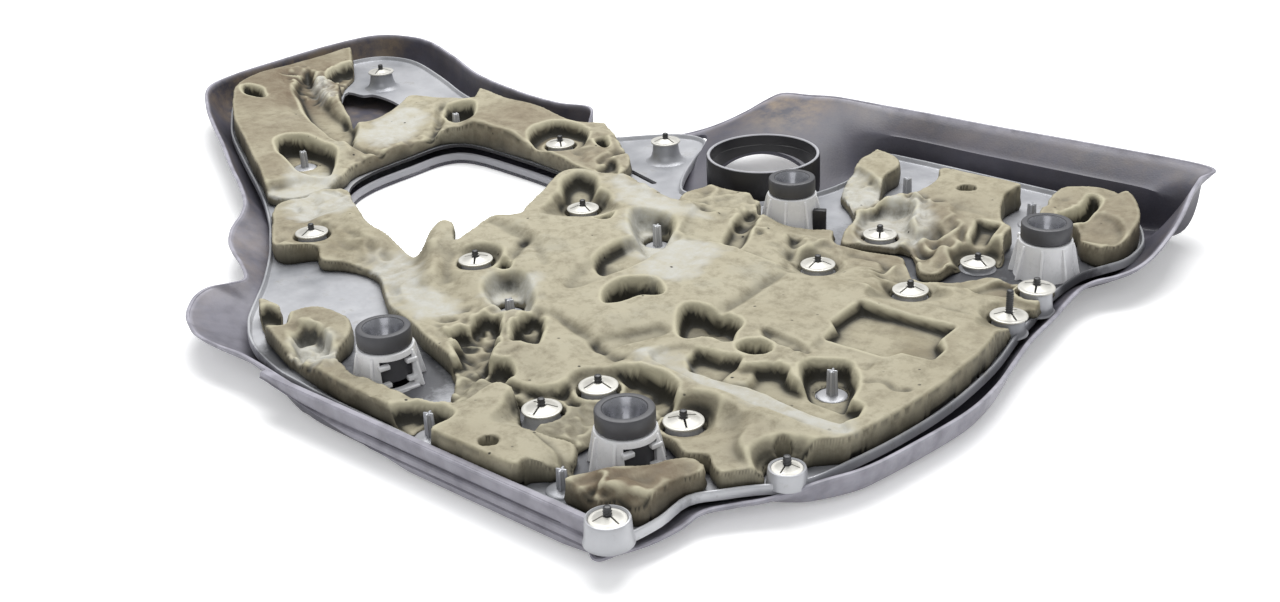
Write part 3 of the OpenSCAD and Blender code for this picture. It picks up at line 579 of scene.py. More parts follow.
def coverWear(row, k, count):
    # rubbed pale at the lip, along the front and at the near left; dusty on the arm, hump, tongue and lip
    x, y = row[:, 0], row[:, 1]
    inside = k <= count
    lip = {0: 1.0, 1: 1.0, 2: 0.9, 3: 0.35}.get(abs(k - (count + 2)), 0.0)
    front = softStep((x - 225) / 40) * softStep((70 - y) / 80)
    left = softStep((30 - x) / 40) * softStep((-60 - y) / 50)
    upper = softStep((k - count * 0.35) / (count * 0.3))
    pale = 0.4 * left + 0.7 * front * upper if inside else 0.75 * front + 0.55 * left
    arm = softStep((-x - 348) / 30) * softStep((y - 20) / 40) * (0.8 if inside else 0.3)
    hump = softStep(1 - np.hypot(x - 25, y - 235) / 42) * 1.1
    tongue = softStep(1 - np.hypot(x + 120, y + 110) / 70) * 0.5
    lipDust = softStep((k - count * 0.55) / (count * 0.4)) * 0.25 if inside else 0
    return np.maximum(lip, pale), np.clip(arm + hump + tongue + lipDust + 0.06, 0, 1)


def buildCover():
    st = smoothLoop(rim, cover["columnsPerSpan"])
    out = st[:, :2] - st[:, 3:5]
    out /= np.linalg.norm(out, axis=1)[:, None]
    rows, count = coverRows(st, out)
    faces = quadRows(len(rows), len(st)) + endCaps(len(rows), len(st))
    obj = makeObject("outerCover", np.concatenate(rows), faces, coverMat, 40)
    looks = [coverWear(row, k, count) for k, row in enumerate(rows)]
    addAttribute(obj, "wear", np.concatenate([wear for wear, dust in looks]))
    addAttribute(obj, "dust", np.concatenate([dust for wear, dust in looks]))
    plateLoop = insetLoop(smoothLoop(plateEdge, 3), -cover["plateClearance"])
    carve(obj, [prism("cutOpening", openingLoop, -5, 40, coverMat),
                prism("cutCollar", circle(*collarAt, cover["collarHole"], 96), -5, 60, coverMat),
                prism("cutPlate", plateLoop, plateTop - 2.3, 60, coverMat)], 40)
    return obj


def buildFlange():
    # turned-up edge round the opening: how far outwards, and how high
    section = [(0, 1.0), (0, 6.6), (-1.2, 7.4), (-2.5, 6.8), (-2.5, 1.0)]
    n = len(openingLoop)
    rows = [np.c_[insetLoop(openingLoop, d), np.full(n, z)] for d, z in section]
    faces = quadRows(len(section), n, closed=True)
    return makeObject("openingFlange", np.concatenate(rows), faces, small["paleWornPolypropylene"], 40)


outerCover = buildCover()
flange = buildFlange()
print("stage: cover shell", len(outerCover.data.polygons))

# Side rail
rail = {"x0": 24, "x1": 251, "inner": -216, "thick": 5, "above": 8, "below": 11, "columns": 60}


def buildRail():
    y0, y1 = rail["inner"], rail["inner"] - rail["thick"]
    z1, z0 = plateTop + rail["above"], plateTop - rail["below"]
    # top edge, then two shallow grooves along the outer face
    section = [[y0, z1 - 1], [y0 - 1, z1 - 0.2], [y1 + 1, z1], [y1 + 0.2, z1 - 0.8], [y1, z1 - 1.6],
               [y1 - 0.1, z1 - 6.4], [y1 + 0.3, z1 - 7.2], [y1 + 1.0, z1 - 7.8], [y1 + 1.0, z1 - 8.4],
               [y1 - 0.3, z1 - 9.0], [y1 - 0.8, z1 - 9.8], [y1 - 0.8, z1 - 12.6], [y1 - 0.2, z1 - 13.3],
               [y1 + 0.9, z1 - 13.8], [y1 + 0.9, z1 - 14.4], [y1, z1 - 15], [y1 + 1.2, z0],
               [y1 + 2.4, z0 - 0.4], [y0, z0]]
    verts = []
    for x in np.linspace(rail["x0"], rail["x1"], rail["columns"]):
        # the strip's lower edge rises towards both of its ends
        low = z0 + max(0.0, (110 - (x - rail["x0"])) * 0.158) + max(0.0, (x - 236) * 0.1)
        low = min(low, z1 - 3.0)
        dip = 0.9 * softStep((rail["x0"] + 12 - x) / 12)
        verts += [(x, y + dip, max(z, low + (z - z0) * 0.04)) for y, z in section]
    n = len(section)
    faces = quadRows(rail["columns"], n) + endCaps(rail["columns"], n, flipped=True)
    obj = makeObject("sideRail", verts, faces, coverMat, 30)
    z = np.array([v.co.z for v in obj.data.vertices]) * 1000
    addAttribute(obj, "wear", np.where(z > z1 - 1.2, 0.95, 0.72))
    addAttribute(obj, "dust", np.full(len(z), 0.15))
    return obj


sideRail = buildRail()

# Carrier plate
plate = {"rimHeight": 3.0, "rimWidth": 2.4, "boreCut": 12.6, "slotWidth": 4.0, "shadedEdge": 1.5,
         "gridSpacing": 47, "gridShift": 3.7}
pin = {"bladeLength": 6.0, "bladeThick": 1.3, "turn": 0.35, "taper": 0.86}
sleeve = {"bore": 12.45, "height": 21, "fins": 8, "firstFin": 22, "finFoot": 20.0, "finTop": 16.2,
          "finHalf": 0.85, "windowTurn": math.radians(-15), "lugTurn": math.radians(165)}
armCut = [[-323, 124], [-308, 130], [-300, 136], [-268, 131], [-230, 112], [-222, 90], [-232, 60],
          [-262, 70]]
slotEnds = [[-22, 122], [5, 114]]
# x, y and height of each boss that carries a push nut, then of each cross-shaped pin
nuts = [[-311, 153, 12], [-85, 120, 7], [-16, 152, 13], [-95, -90, 11], [20, -62, 12], [13, 37, 9],
        [176, 58, 5], [182, 113, 6], [246, 116, 3], [237, 59, 5], [299, 85, 13], [300, 54, 9],
        [177, -130, 9], [168, -161, 7], [232, -131, 8], [262, -218, 11], [295, -135, 7.5]]
bossKind = {0: "wide", 2: "wide", 15: "broad", 16: "straight"}
pins = [[-214, -2, 13], [77, 33, 15], [266, -58, 15], [135, -204, 14], [156, 184, 14], [240, 189, 14],
        [-186, 116, 12], [70, -85, 10], [190, -55, 5], [219, -201, 12]]
sleeves = [[73, -176], [228, -167], [121, 109], [279, 132]]


def gridCut(obj):
    # divides the large flat faces along a square grid
    pickOnly(obj)
    bpy.ops.object.mode_set(mode="EDIT")
    for axis in (0, 1):
        for k in range(-9, 10):
            bpy.ops.mesh.select_all(action="SELECT")
            at, normal = [0.0, 0.0, 0.0], [0.0, 0.0, 0.0]
            at[axis], normal[axis] = (k * plate["gridSpacing"] + plate["gridShift"]) / 1000, 1.0
            bpy.ops.mesh.bisect(plane_co=at, plane_no=normal)
    bpy.ops.object.mode_set(mode="OBJECT")


def slotLoop():
    ends = np.array(slotEnds, float)
    along = (ends[1] - ends[0]) / np.linalg.norm(ends[1] - ends[0])
    side = np.array([-along[1], along[0]])
    half = plate["slotWidth"] / 2
    return [ends[i] + half * (math.cos(t) * side + math.sin(t) * along * (1 if i else -1))
            for i, ts in ((1, np.linspace(math.pi, 0, 9)), (0, np.linspace(0, math.pi, 9))) for t in ts]


def buildPlate():
    edge = smoothLoop(plateEdge, 4)
    n = len(edge)
    w, h = plate["rimWidth"], plate["rimHeight"]
    section = [(w + 1.2, 0), (w + 0.2, 0.25), (w - 0.3, 1.0), (w - 0.5, h - 0.7), (w - 0.9, h - 0.15),
               (w - 1.4, h), (0.5, h - 0.1), (0.15, h - 0.6), (0.0, h - 1.4), (0.0, -2.0)]
    rows = [np.c_[insetLoop(edge, d), np.full(n, plateTop + z)] for d, z in section]
    faces = quadRows(len(rows), n) + endCaps(len(rows), n, flipped=True)
    obj = makeObject("carrierPlate", np.concatenate(rows), faces, plateMat, 40)
    gridCut(obj)
    loops = [insetLoop(openingLoop, -0.5), smoothLoop(armCut, 4), slotLoop()]
    loops += [circle(x, y, plate["boreCut"], 48) for x, y in sleeves]
    carve(obj, [prism("cutPlate", loop, 0, 40, plateMat) for loop in loops])
    # the cut edge round the opening lies in black shade
    obj.data.materials.append(small["paintedShadeEdge"])
    walls = [f for f in obj.data.polygons if abs(f.normal.z) < 0.3]
    centres = np.array([[f.center.x * 1000 + middle[0], f.center.y * 1000 + middle[1]] for f in walls])
    for f, d in zip(walls, insideDistance(centres, openingLoop)):
        if abs(d) < plate["shadedEdge"]:
            f.material_index = 1
    return obj


def bossProfile(h, kind):
    # radius and height over the plate, from the foot to the mouth
    if kind == "wide":
        return [(14.0, 0), (12.2, 0.9), (10.4, 2.6), (9.2, h * 0.5), (8.5, h - 1.4), (8.2, h - 0.2), (7.4, h),
                (0.1, h)]
    if kind == "straight":
        return [(9.6, 0), (9.3, 1.0), (9.0, h - 0.6), (8.6, h + 0.6), (8.0, h + 0.9), (7.5, h + 0.4),
                (7.4, h - 0.8), (0.1, h - 0.8)]
    if kind == "broad":
        return [(11.6, 0), (11.0, 1.2), (10.6, h * 0.5), (10.3, h + 0.2), (9.9, h + 1.0), (9.3, h + 1.2),
                (8.9, h + 0.6), (8.7, h - 0.6), (0.1, h - 0.6)]
    return [(10.6, 0), (9.6, 0.8), (8.9, h * 0.4), (8.4, h - 1.6), (8.1, h - 0.3), (7.8, h + 0.1),
            (7.2, h - 0.1), (6.8, h - 0.5), (2.6, h - 0.5), (2.6, h), (0.1, h)]


def onPlate(profile):
    # a closed profile that starts near the axis at the plate's face
    return [(0.1, plateTop)] + [(r, plateTop + z) for r, z in profile]


def buildFin(centre, turn):
    # upright rib against the sleeve's wall, thin at its top
    r0, r1, r2 = 14.6, sleeve["finFoot"], sleeve["finTop"]
    face = ((r0, -0.2), (r1, -0.2), (r1 - 0.5, 2.5), (r2 + 0.2, 17), (r2 - 0.6, 19.5), (r0, 19.8))
    pts = [(*aside(centre, turn, r, side), plateTop + z) for side in (-sleeve["finHalf"], sleeve["finHalf"])
           for r, z in face]
    fin = makeObject("fin", pts, endCaps(2, 6, flipped=True) + quadRows(2, 6), sleeveMat)
    roundEdges(fin, 0.4)
    shadeByAngle(fin)
    return fin


def buildSleeve(i):
    centre = sleeves[i]
    z = plateTop
    turn = sleeve["windowTurn"]
    bore, h = sleeve["bore"], sleeve["height"]
    profile = [(bore, z - 0.3), (17.2, z - 0.3), (16.9, z + 0.5), (16.2, z + 5), (15.6, z + 12),
               (15.1, z + h - 1.4), (14.9, z + h - 0.4), (14.4, z + h), (12.9, z + h), (bore, z + h - 0.5)]
    tube = lathe("sleeve", profile, centre, sleeveMat, 72)
    parts = [tube]
    openSide = i < 2
    for k in range(sleeve["fins"]):
        a = math.radians(k * 360 / sleeve["fins"] + sleeve["firstFin"])
        if not openSide or math.cos(a - turn) <= 0.80:
            parts.append(buildFin(centre, a))
    if openSide:
        # window with a sill and four small tabs in it
        place = (*aside(centre, turn, 15), z + 9.5)
        carve(tube, [box("cutWindow", place, (20, 19, 16.5), sleeveMat, turn=turn)])
        for side in (-7.6, 7.6):
            for up in (4.5, 14.5):
                place = (*aside(centre, turn, 12.6, side), z + up)
                parts.append(box("tab", place, (3.4, 6.0, 2.4), sleeveMat, turn=turn, rounding=0.5))
        place = (*aside(centre, turn, 15.2), z + 0.5)
        parts.append(box("sill", place, (3.0, 19, 1.6), sleeveMat, turn=turn, rounding=0.5))
    if i == 3:
        turn = sleeve["lugTurn"]
        place = (*aside(centre, turn, 15.6), z + 18.2)
        parts.append(box("lug", place, (5.0, 8, 3.2), sleeveMat, turn=turn, rounding=0.7))
    return join(f"sleeve{i + 1}", parts)


def buildPin(x, y, h):
    parts = [lathe("pinFoot", onPlate([(8, 0), (7.6, 0.9), (6.6, 1.5), (0.1, 1.6)]), (x, y), bossMat, 32)]
    place, size = (x, y, plateTop + h / 2), (pin["bladeLength"], pin["bladeThick"], h)
    for turn in (pin["turn"], pin["turn"] + math.pi / 2):
        parts.append(box("pinBlade", place, size, bossMat, turn=turn, rounding=0.35, taper=pin["taper"]))
    core = [(1.9, 0), (1.6, h - 0.8), (1.1, h - 0.4), (0.1, h - 0.4)]
    parts.append(lathe("pinCore", onPlate(core), (x, y), bossMat, 16))
    return join("pin", parts)


plateParts = [buildPlate()]
plateParts += [lathe("boss", onPlate(bossProfile(h, bossKind.get(i))), (x, y), bossMat, 40)
               for i, (x, y, h) in enumerate(nuts)]
plateParts += [buildPin(*p) for p in pins]
carrierPlate = join("carrierPlate", plateParts)
sleeveObjs = [buildSleeve(i) for i in range(4)]
print("stage: carrier plate", len(carrierPlate.data.polygons))

# Push nuts and the studs that they grip; two nuts at the front edge are narrower and lie lower
nut = {"radius": 10.0, "slit": 1.1, "narrow": {15: 0.86, 16: 0.74}, "lower": 0.8, "tall": 11}


def buildNut():
    r = nut["radius"]
    mat = small["zincPlatedSpringSteel"]
    profile = [(2.0, 2.6), (2.8, 2.9), (4.2, 2.4), (6.4, 1.6), (7.6, 1.25), (8.6, 1.15), (9.4, 1.25),
               (r - 0.1, 1.0), (r, 0.5), (r - 0.2, 0.1), (9.2, 0.25), (7.6, 0.15), (6.2, 0.4), (4.0, 1.3),
               (2.6, 1.9), (2.0, 1.9)]
    obj = lathe("nut", profile, middle, mat, 64)
    size = (6.0, nut["slit"], 8)
    turns = [math.radians(102 + 120 * k) for k in range(3)]
    carve(obj, [box("slit", (*aside(middle, a, 4.8), 1.5), size, mat, turn=a) for a in turns])
    return obj


def placeNut(shape, i):
    x, y, h = nuts[i]
    copy = shape.copy()
    copy.data = shape.data.copy()
    bpy.context.scene.collection.objects.link(copy)
    turn = math.radians((37 * i) % 120 - 60)
    narrow = nut["narrow"].get(i, 1.0)
    at = ((x - middle[0]) / 1000, (y - middle[1]) / 1000)
    up = (plateTop + h - (nut["lower"] if i in nut["narrow"] else 0)) / 1000
    for v in copy.data.vertices:
        v.co = Vector((*aside(at, turn, v.co.x * narrow, v.co.y * narrow), v.co.z + up))
    return copy


def buildStud(i):
    # ribbed stud: a ring every 1.3 mm, then a blunt tip
    x, y, h = nuts[i]
    base = plateTop + h - 0.4
    top = plateTop + h + 1.6 + (14 if i == nut["tall"] else 5)
    profile = [(0.05, base), (1.9, base)]
    z = base + 0.6
    while z < top - 1.2:
        profile += [(2.05, z), (1.75, z + 0.45), (1.75, z + 0.75)]
        z += 1.3
    profile += [(1.9, top - 1.0), (1.6, top - 0.3), (0.9, top), (0.05, top)]
    return lathe("stud", profile, (x, y), small["blackNylonStud"], 20)


nutShape = buildNut()
pushNuts = join("pushNuts", [placeNut(nutShape, i) for i in range(len(nuts))])
studs = join("studs", [buildStud(i) for i in range(len(nuts))])
bpy.data.objects.remove(nutShape, do_unlink=True)
print("stage: nuts")

# Rubber mounts
mount = {"radius": 14.15, "height": 10.0, "sleeve": 21.0}


def buildMount(i):
    z1 = plateTop + mount["sleeve"] + mount["height"]
    r = mount["radius"]
    # radius and depth under the top face
    ring = [(10.4, 0.5), (10.8, 0.1), (11.4, 0), (r - 1.2, 0), (r - 0.4, 0.3), (r, 1.0), (r, 8.6),
            (r - 0.5, 9.5), (r - 1.2, 9.9), (12.3, 9.95), (12.3, 26.5), (11.5, 27), (5.0, 27), (5.0, 20),
            (6.0, 10.5), (10.2, 0.9)]
    funnel = [(10.35, 0.35), (9.6, 1.2), (8.4, 4.6), (7.2, 7.4), (6.0, 9.4), (5.05, 10.2), (5.05, 19),
              (5.6, 19), (5.6, 10.6), (6.3, 9.9), (9.4, 4.4), (10.5, 0.9)]
    shapes = ((f"rubberMount{i + 1}", ring, "mouldedRubber"), ("funnel", funnel, "polishedRubberFunnel"))
    return [lathe(name, [(a, z1 - d) for a, d in profile], sleeves[i], small[look], 72)
            for name, profile, look in shapes]


mountObjs = [buildMount(i) for i in range(4)]
print("stage: mounts")

# Filler collar, with a peg beside it
collar = {"radius": 37.0, "wall": 2.4, "top": 20.0, "rise": 0.3, "slopeTurn": math.atan2(0.82, -0.57)}


def buildCollar():
    z1 = plateTop + collar["top"]
    r, w = collar["radius"], collar["wall"]
    profile = [(r, -2), (r, z1 - 1.2), (r - 0.3, z1 - 0.4), (r - 0.9, z1), (r - w + 0.5, z1),
               (r - w, z1 - 0.5), (r - w, z1 - 6.8), (r - w - 0.5, z1 - 7.2), (r - w - 0.5, -2)]
    obj = lathe("fillerCollar", profile, collarAt, collarMat, 128, 30)
    # foot cut to the slope of the cover
    half = 80
    low, high = [], []
    for u, v in ((-half, -half), (half, -half), (half, half), (-half, half)):
        x, y = aside(collarAt, collar["slopeTurn"], u, v)
        low.append((x, y, -60))
        high.append((x, y, plateTop - 2 + collar["rise"] * u))
    carve(obj, [makeObject("cutFoot", low + high, quadRows(2, 4) + endCaps(2, 4), collarMat)], 30)
    # a pale band over the rim's top, painted as a highlight
    band = [(r - 0.25, z1 - 0.5), (r - 0.85, z1 + 0.08), (r - w + 0.5, z1 + 0.08), (r - w + 0.05, z1 - 0.45),
            (r - w + 0.4, z1 - 0.6), (r - 0.6, z1 - 0.6)]
    return obj, lathe("collarRimHighlight", band, collarAt, small["paintedRimHighlight"], 128, 40)


fillerCollar, collarHighlightBand = buildCollar()
blackPeg = box("blackPeg", (140, 111, plateTop + 6.6), (8.0, 4.6, 13.4), collarMat, turn=0.5, rounding=0.5)
print("stage: collar")

# Foam sheets
# steepShade, hollowShade and basinShade weigh the painted shade, rubbed the painted highlight along raised
# edges
foam = {"step": 1.0, "base": 0.4, "edge": 2.0, "overRim": 3.5, "overhang": 2.2, "tracedAt": 16, "wander": 0.5,
        "nutWell": 10.9, "frontNutWell": 13.0, "pinWell": 8.6, "sleeveWell": 21.5, "nutSink": 0.9,
        "steepShade": 0.32, "hollowShade": 0.6, "basinShade": 0.2, "rubbed": 1.5, "dirt": 0.12}
eye = np.array([662.0, -635.0, 384.87])
towardsEye = (0.669, -0.743)
frontNut = 15
clear = [(x, y, foam["frontNutWell" if i == frontNut else "nutWell"]) for i, (x, y, h) in enumerate(nuts)]
clear += [(x, y, foam["pinWell"]) for x, y, h in pins] + [(x, y, foam["sleeveWell"]) for x, y in sleeves]
plateOuter = smoothLoop(plateEdge, 3)
rimInside = insetLoop(plateOuter, plate["rimWidth"] + 0.8)
# middle x and y, reach, and strength of each dirty stretch
dirtSpots = [(-345, 90, 95, 0.95), (-260, 10, 60, 0.6), (-205, -35, 35, 0.55), (-120, 125, 60, 0.7),
             (-165, 40, 40, 0.6), (-50, 110, 45, 0.6), (-118, -92, 40, 0.5), (-20, -95, 50, 0.35),
             (30, 100, 50, 0.4), (190, 120, 70, 0.65), (290, 190, 60, 0.6), (60, -195, 50, 0.4),
             (252, -190, 42, 1.0), (290, 92, 26, 0.8), (-10, -165, 50, 0.55), (100, -130, 40, 0.35),
             (270, -140, 35, 0.3)]


def traced(points):
    # a third number is the height of a point traced on the level 16 mm over the plate
    out = []
    for q in points:
        f = (eye[2] - q[2]) / (eye[2] - foam["tracedAt"]) if len(q) > 2 else 1.0
        out.append([eye[0] + (q[0] - eye[0]) * f, eye[1] + (q[1] - eye[1]) * f])
    return out


def spread(grid, times):
    for _ in range(times):
        g = np.pad(grid, 1, mode="edge")
        grid = (g[1:-1, 1:-1] * 2 + g[:-2, 1:-1] + g[2:, 1:-1] + g[1:-1, :-2] + g[1:-1, 2:]) / 6
    return grid


def foamDepth(pts, outline, holes, pastRim, seed):
    # how far inside the sheet's edge each point lies
    deep = insideDistance(pts, rimInside)
    for x, y, r in pastRim:
        free = np.minimum(r - away(pts, x, y), insideDistance(pts, plateOuter) + foam["overhang"])
        deep = np.maximum(deep, free)
    deep = np.minimum(insideDistance(pts, outline), deep)
    for x, y, r in clear + holes:
        deep = np.minimum(deep, away(pts, x, y) - r)
    return deep + (softNoise(pts, 16.0, seed, 2) - 0.5) * foam["wander"]


def foamRelief(pts, levels, shapes, paths, folds, seed):
    # smooth levels, then sunk and raised shapes, grooves and folds; also the painted shade that deep pockets
    # keep
    levels = np.array(levels, float)
    w = 1 / (((pts[:, None, :] - levels[None, :, :2]) ** 2).sum(2) + 60) ** 1.7
    h = (w * levels[None, :, 2]).sum(1) / w.sum(1)
    paintedPocketShade = np.zeros(len(pts))
    for s in shapes:
        torn = s.get("torn", 0.5)
        wobble = softNoise(pts, 10.0, seed + 7, 2 if torn > 1 else 1) * torn
        d = depthNear(pts, smoothLoop(traced(s["at"]), s.get("round", 3)), 12) + wobble
        f = softStep(d / (s.get("soft", 3.0) + 0.8) + 0.5)
        mixed = h * (1 - f) + (s["to"] if "to" in s else h + s["by"]) * f
        paintedPocketShade = np.maximum(paintedPocketShade, f * s.get("dark", 0))
        h = np.maximum(h, mixed) if s.get("onlyUp") else mixed
    for q in paths:
        line = smoothPath(q["at"], 5)
        reach = 3 * q["wide"] + 2
        near = (pts > line.min(0) - reach).all(1) & (pts < line.max(0) + reach).all(1)
        d = pathDistance(pts[near], line) + softNoise(pts[near], 8.0, seed + 2, 2) * 0.6
        h[near] += q["by"] * np.exp(-(d / q["wide"]) ** 2)
    for q in folds:
        # folds: the absolute value of a noise whose ground is itself pushed about
        f = softStep(depthNear(pts, smoothLoop(q["at"], 3), 12) / 9 + 0.5)
        size = q["size"] * 2.1
        push = np.c_[softNoise(pts, size, seed + 15, 2), softNoise(pts, size, seed + 16, 2)] * size * 0.7
        h += f * q["by"] * (0.42 - np.abs(softNoise(pts + push, size, seed + 9, 2))) * 2.2
    return h, paintedPocketShade


def pinchToNuts(pts, h):
    # the sheet is pinched down to each nut, and dips more gently on the side from which the nut is seen
    for x, y, nutHeight in nuts:
        d = away(pts, x, y)
        floorHeight = nutHeight - foam["nutSink"]
        f = softStep((14.2 - d) / 4 + 0.5)
        h = h * (1 - f) + floorHeight * f
        ahead = ((pts[:, 0] - x) * towardsEye[0] + (pts[:, 1] - y) * towardsEye[1]) / (d + 1e-6)
        slope = 1.7 - 1.25 * softStep(ahead * 1.4)
        h = np.minimum(h, floorHeight + np.maximum(0, d - 13.0) * slope)
    return h


def crownEdge(h, deep):
    # the top rounds off towards the sheet's edge
    edge = np.clip(deep / foam["edge"], 0, 1)
    top = np.maximum(h, 1.0)
    crown = np.minimum(foam["edge"] * 0.8, top * 0.6)
    return top - crown * (1 - np.sqrt(np.maximum(1 - (1 - edge) ** 2, 0)))


def foamShade(pts, height, paintedPocketShade, films, seed):
    # painted shade in hollows and on steep sides, a painted highlight along raised edges that also stands for
    # rub, and the grey film
    slopeX, slopeY = np.gradient(height, foam["step"])
    near, far = spread(height, 9), spread(height, 80)
    low = np.clip(np.hypot(slopeX, slopeY) * foam["steepShade"] - 0.1, 0, 0.6)
    low += np.clip((near - height) * foam["hollowShade"], 0, 0.5)
    low += np.clip((far - height) * foam["basinShade"], 0, 0.7)
    # painted highlight along raised edges, which also stands for rub
    rub = np.clip((height - near) * foam["rubbed"] - 0.3, 0, 0.9)
    film = np.zeros(len(pts))
    for q in films:
        d = depthNear(pts, smoothLoop(q, 3), 20) + softNoise(pts, 12.0, seed + 4, 3) * 5
        film = np.maximum(film, softStep(d / 12 + 0.5))
    film = film.reshape(height.shape)
    low = np.maximum(low * (1 - 0.6 * film), spread(paintedPocketShade.reshape(height.shape), 1))
    return np.clip(low, 0, 1), rub, film


def foamTop(gx, gy, height, inside):
    # grid points in the sheet, those at its edge pulled onto it, and the squares between them
    step = foam["step"]
    keep = inside > -0.5 * step
    slopeX, slopeY = np.gradient(inside, step)
    pull = np.clip(-inside / (slopeX ** 2 + slopeY ** 2 + 1e-6), -step, step)
    pull = np.where(keep & (inside < 0.5 * step), pull, 0)
    quads = keep[:-1, :-1] & keep[1:, :-1] & keep[1:, 1:] & keep[:-1, 1:]
    nx, ny = keep.shape
    used = np.zeros_like(keep)
    for di in (0, 1):
        for dj in (0, 1):
            used[di:nx - 1 + di, dj:ny - 1 + dj] |= quads
    index = -np.ones(keep.shape, int)
    index[used] = np.arange(int(used.sum()))
    verts = np.c_[(gx + pull * slopeX)[used], (gy + pull * slopeY)[used], height[used] + plateTop]
    corners = index[:-1, :-1][quads], index[1:, :-1][quads], index[1:, 1:][quads], index[:-1, 1:][quads]
    return verts, corners, used


def relaxEdge(verts, border, ring):
    # evens out the edge and finds the outward direction at each of its points
    m = len(verts)
    outward = np.zeros((m, 2))
    e = verts[border[:, 1], :2] - verts[border[:, 0], :2]
    for k in (0, 1):
        np.add.at(outward, border[:, k], np.c_[e[:, 1], -e[:, 0]])
    for turn in range(6):
        total, place, count = outward * 2, verts[:, :2] * 2, np.full(m, 2.0)
        for k in (0, 1):
            np.add.at(total, border[:, k], outward[border[:, 1 - k]])
            np.add.at(place, border[:, k], verts[border[:, 1 - k], :2])
            np.add.at(count, border[:, k], 1.0)
        outward = total / (np.linalg.norm(total, axis=1)[:, None] + 1e-9)
        if turn < 3:
            verts[ring, :2] = place[ring] / count[ring, None]
    return outward


def splitSquares(corners, z):
    # each square is split along its flatter diagonal so that slopes stay even
    a, b, c, d = corners
    flat = np.abs(z[a] - z[c]) <= np.abs(z[b] - z[d])
    return np.r_[np.c_[a, b, c][flat], np.c_[a, c, d][flat], np.c_[a, b, d][~flat], np.c_[b, c, d][~flat]]


def foamBody(top, looks, ring, floorZ, outward, seed):
    # rows of points from the top down a wobbling side wall to the flat underside, each point with its
    # low (painted shade), rub and film values; lookup gives the number of a top point's partner in each row
    m = len(top)
    verts, looks, lookup, total = [top], [looks], [np.arange(m)], m
    for k, f in enumerate((0.25, 0.5, 0.78)):
        ids = -np.ones(m, int)
        ids[ring] = total + np.arange(len(ring))
        lookup.append(ids)
        q = top[ring]
        wobble = softNoise(q[:, :2] + 5.0 * k, 14.0, seed + 11 + k, 2) * 0.5
        q[:, :2] += outward[ring] * (0.35 + 0.25 * k + wobble)[:, None]
        q[:, 2] = q[:, 2] * (1 - f) + floorZ[ring] * f
        verts.append(q)
        # painted shade on the side wall, deeper towards its foot; the underside gets full painted shade
        shade = 0.42 + 0.2 * k + softNoise(q[:, :2], 10.0, seed, 2) * 0.1
        looks.append(np.c_[shade, np.zeros((len(ring), 2))])
        total += len(ring)
    lookup.append(total + np.arange(m))
    verts.append(np.c_[top[:, :2], floorZ])
    looks.append(np.c_[np.ones(m), np.zeros((m, 2))])
    return np.concatenate(verts), np.clip(np.concatenate(looks), 0, 1), lookup


def foamPiece(name, node, outline, levels, shapes, paths, folds, films, seed, holes=[], pastRim=[]):
    # a pressed sheet: a field of heights on top, a side wall and an underside
    outline = smoothLoop(traced(outline), 4)
    lo, hi = outline.min(0) - 6, outline.max(0) + 6
    nx, ny = (np.ceil((hi - lo) / foam["step"])).astype(int) + 1
    across, along = lo[0] + np.arange(nx) * foam["step"], lo[1] + np.arange(ny) * foam["step"]
    gx, gy = np.meshgrid(across, along, indexing="ij")
    pts = np.c_[gx.ravel(), gy.ravel()]
    deep = foamDepth(pts, outline, holes, pastRim, seed)
    h, paintedPocketShade = foamRelief(pts, levels, shapes, paths, folds, seed)
    ripple = softNoise(pts, 30.0, seed + 3, 2) * 0.6 + softNoise(pts, 8.0, seed + 5, 3) * 0.16
    h = pinchToNuts(pts, h) + ripple
    h = spread(h.reshape(nx, ny), 3).ravel()
    height = crownEdge(h, deep).reshape(nx, ny)
    low, rub, film = foamShade(pts, height, paintedPocketShade, films, seed)
    top, corners, used = foamTop(gx, gy, height, deep.reshape(nx, ny))
    a, b, c, d = corners
    m = len(top)
    edges = np.r_[np.c_[a, b], np.c_[b, c], np.c_[c, d], np.c_[d, a]]
    border = edges[~np.isin(edges[:, 0] * m + edges[:, 1], edges[:, 1] * m + edges[:, 0])]
    ring = np.unique(border)
    outward = relaxEdge(top, border, ring)
    onRim = insideDistance(top[:, :2], rimInside) < 0.2 if pastRim else np.zeros(m, bool)
    floorZ = plateTop + np.where(onRim, foam["overRim"], foam["base"])
    top[:, 2] = np.maximum(top[:, 2], floorZ + 0.6)
    looks = np.c_[low[used], rub[used], film[used]]
    verts, looks, lookup = foamBody(top, looks, ring, floorZ, outward, seed)
    underside = np.array([d, c, b, a]).T + lookup[-1][0]
    faces = splitSquares(corners, top[:, 2]).tolist() + underside.tolist()
    for upper, lower in zip(lookup[:-1], lookup[1:]):
        faces += np.c_[upper[border[:, ::-1]], lower[border]].tolist()
    obj = makeObject(name, verts, faces, foamMat, 70, outwards=False)
    for k, label in enumerate(("low", "rub", "film")):
        addAttribute(obj, label, looks[:, k])
    dirt = np.full(len(verts), foam["dirt"])
    for x, y, r, amount in dirtSpots:
        dirt = np.maximum(dirt, amount * softStep(1.25 - away(verts, x, y) / r))
    addAttribute(obj, "dirt", dirt)
    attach(obj, "root")
    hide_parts(node)
    print("stage:", name, sum(len(f.vertices) - 2 for f in obj.data.polygons))
    return obj
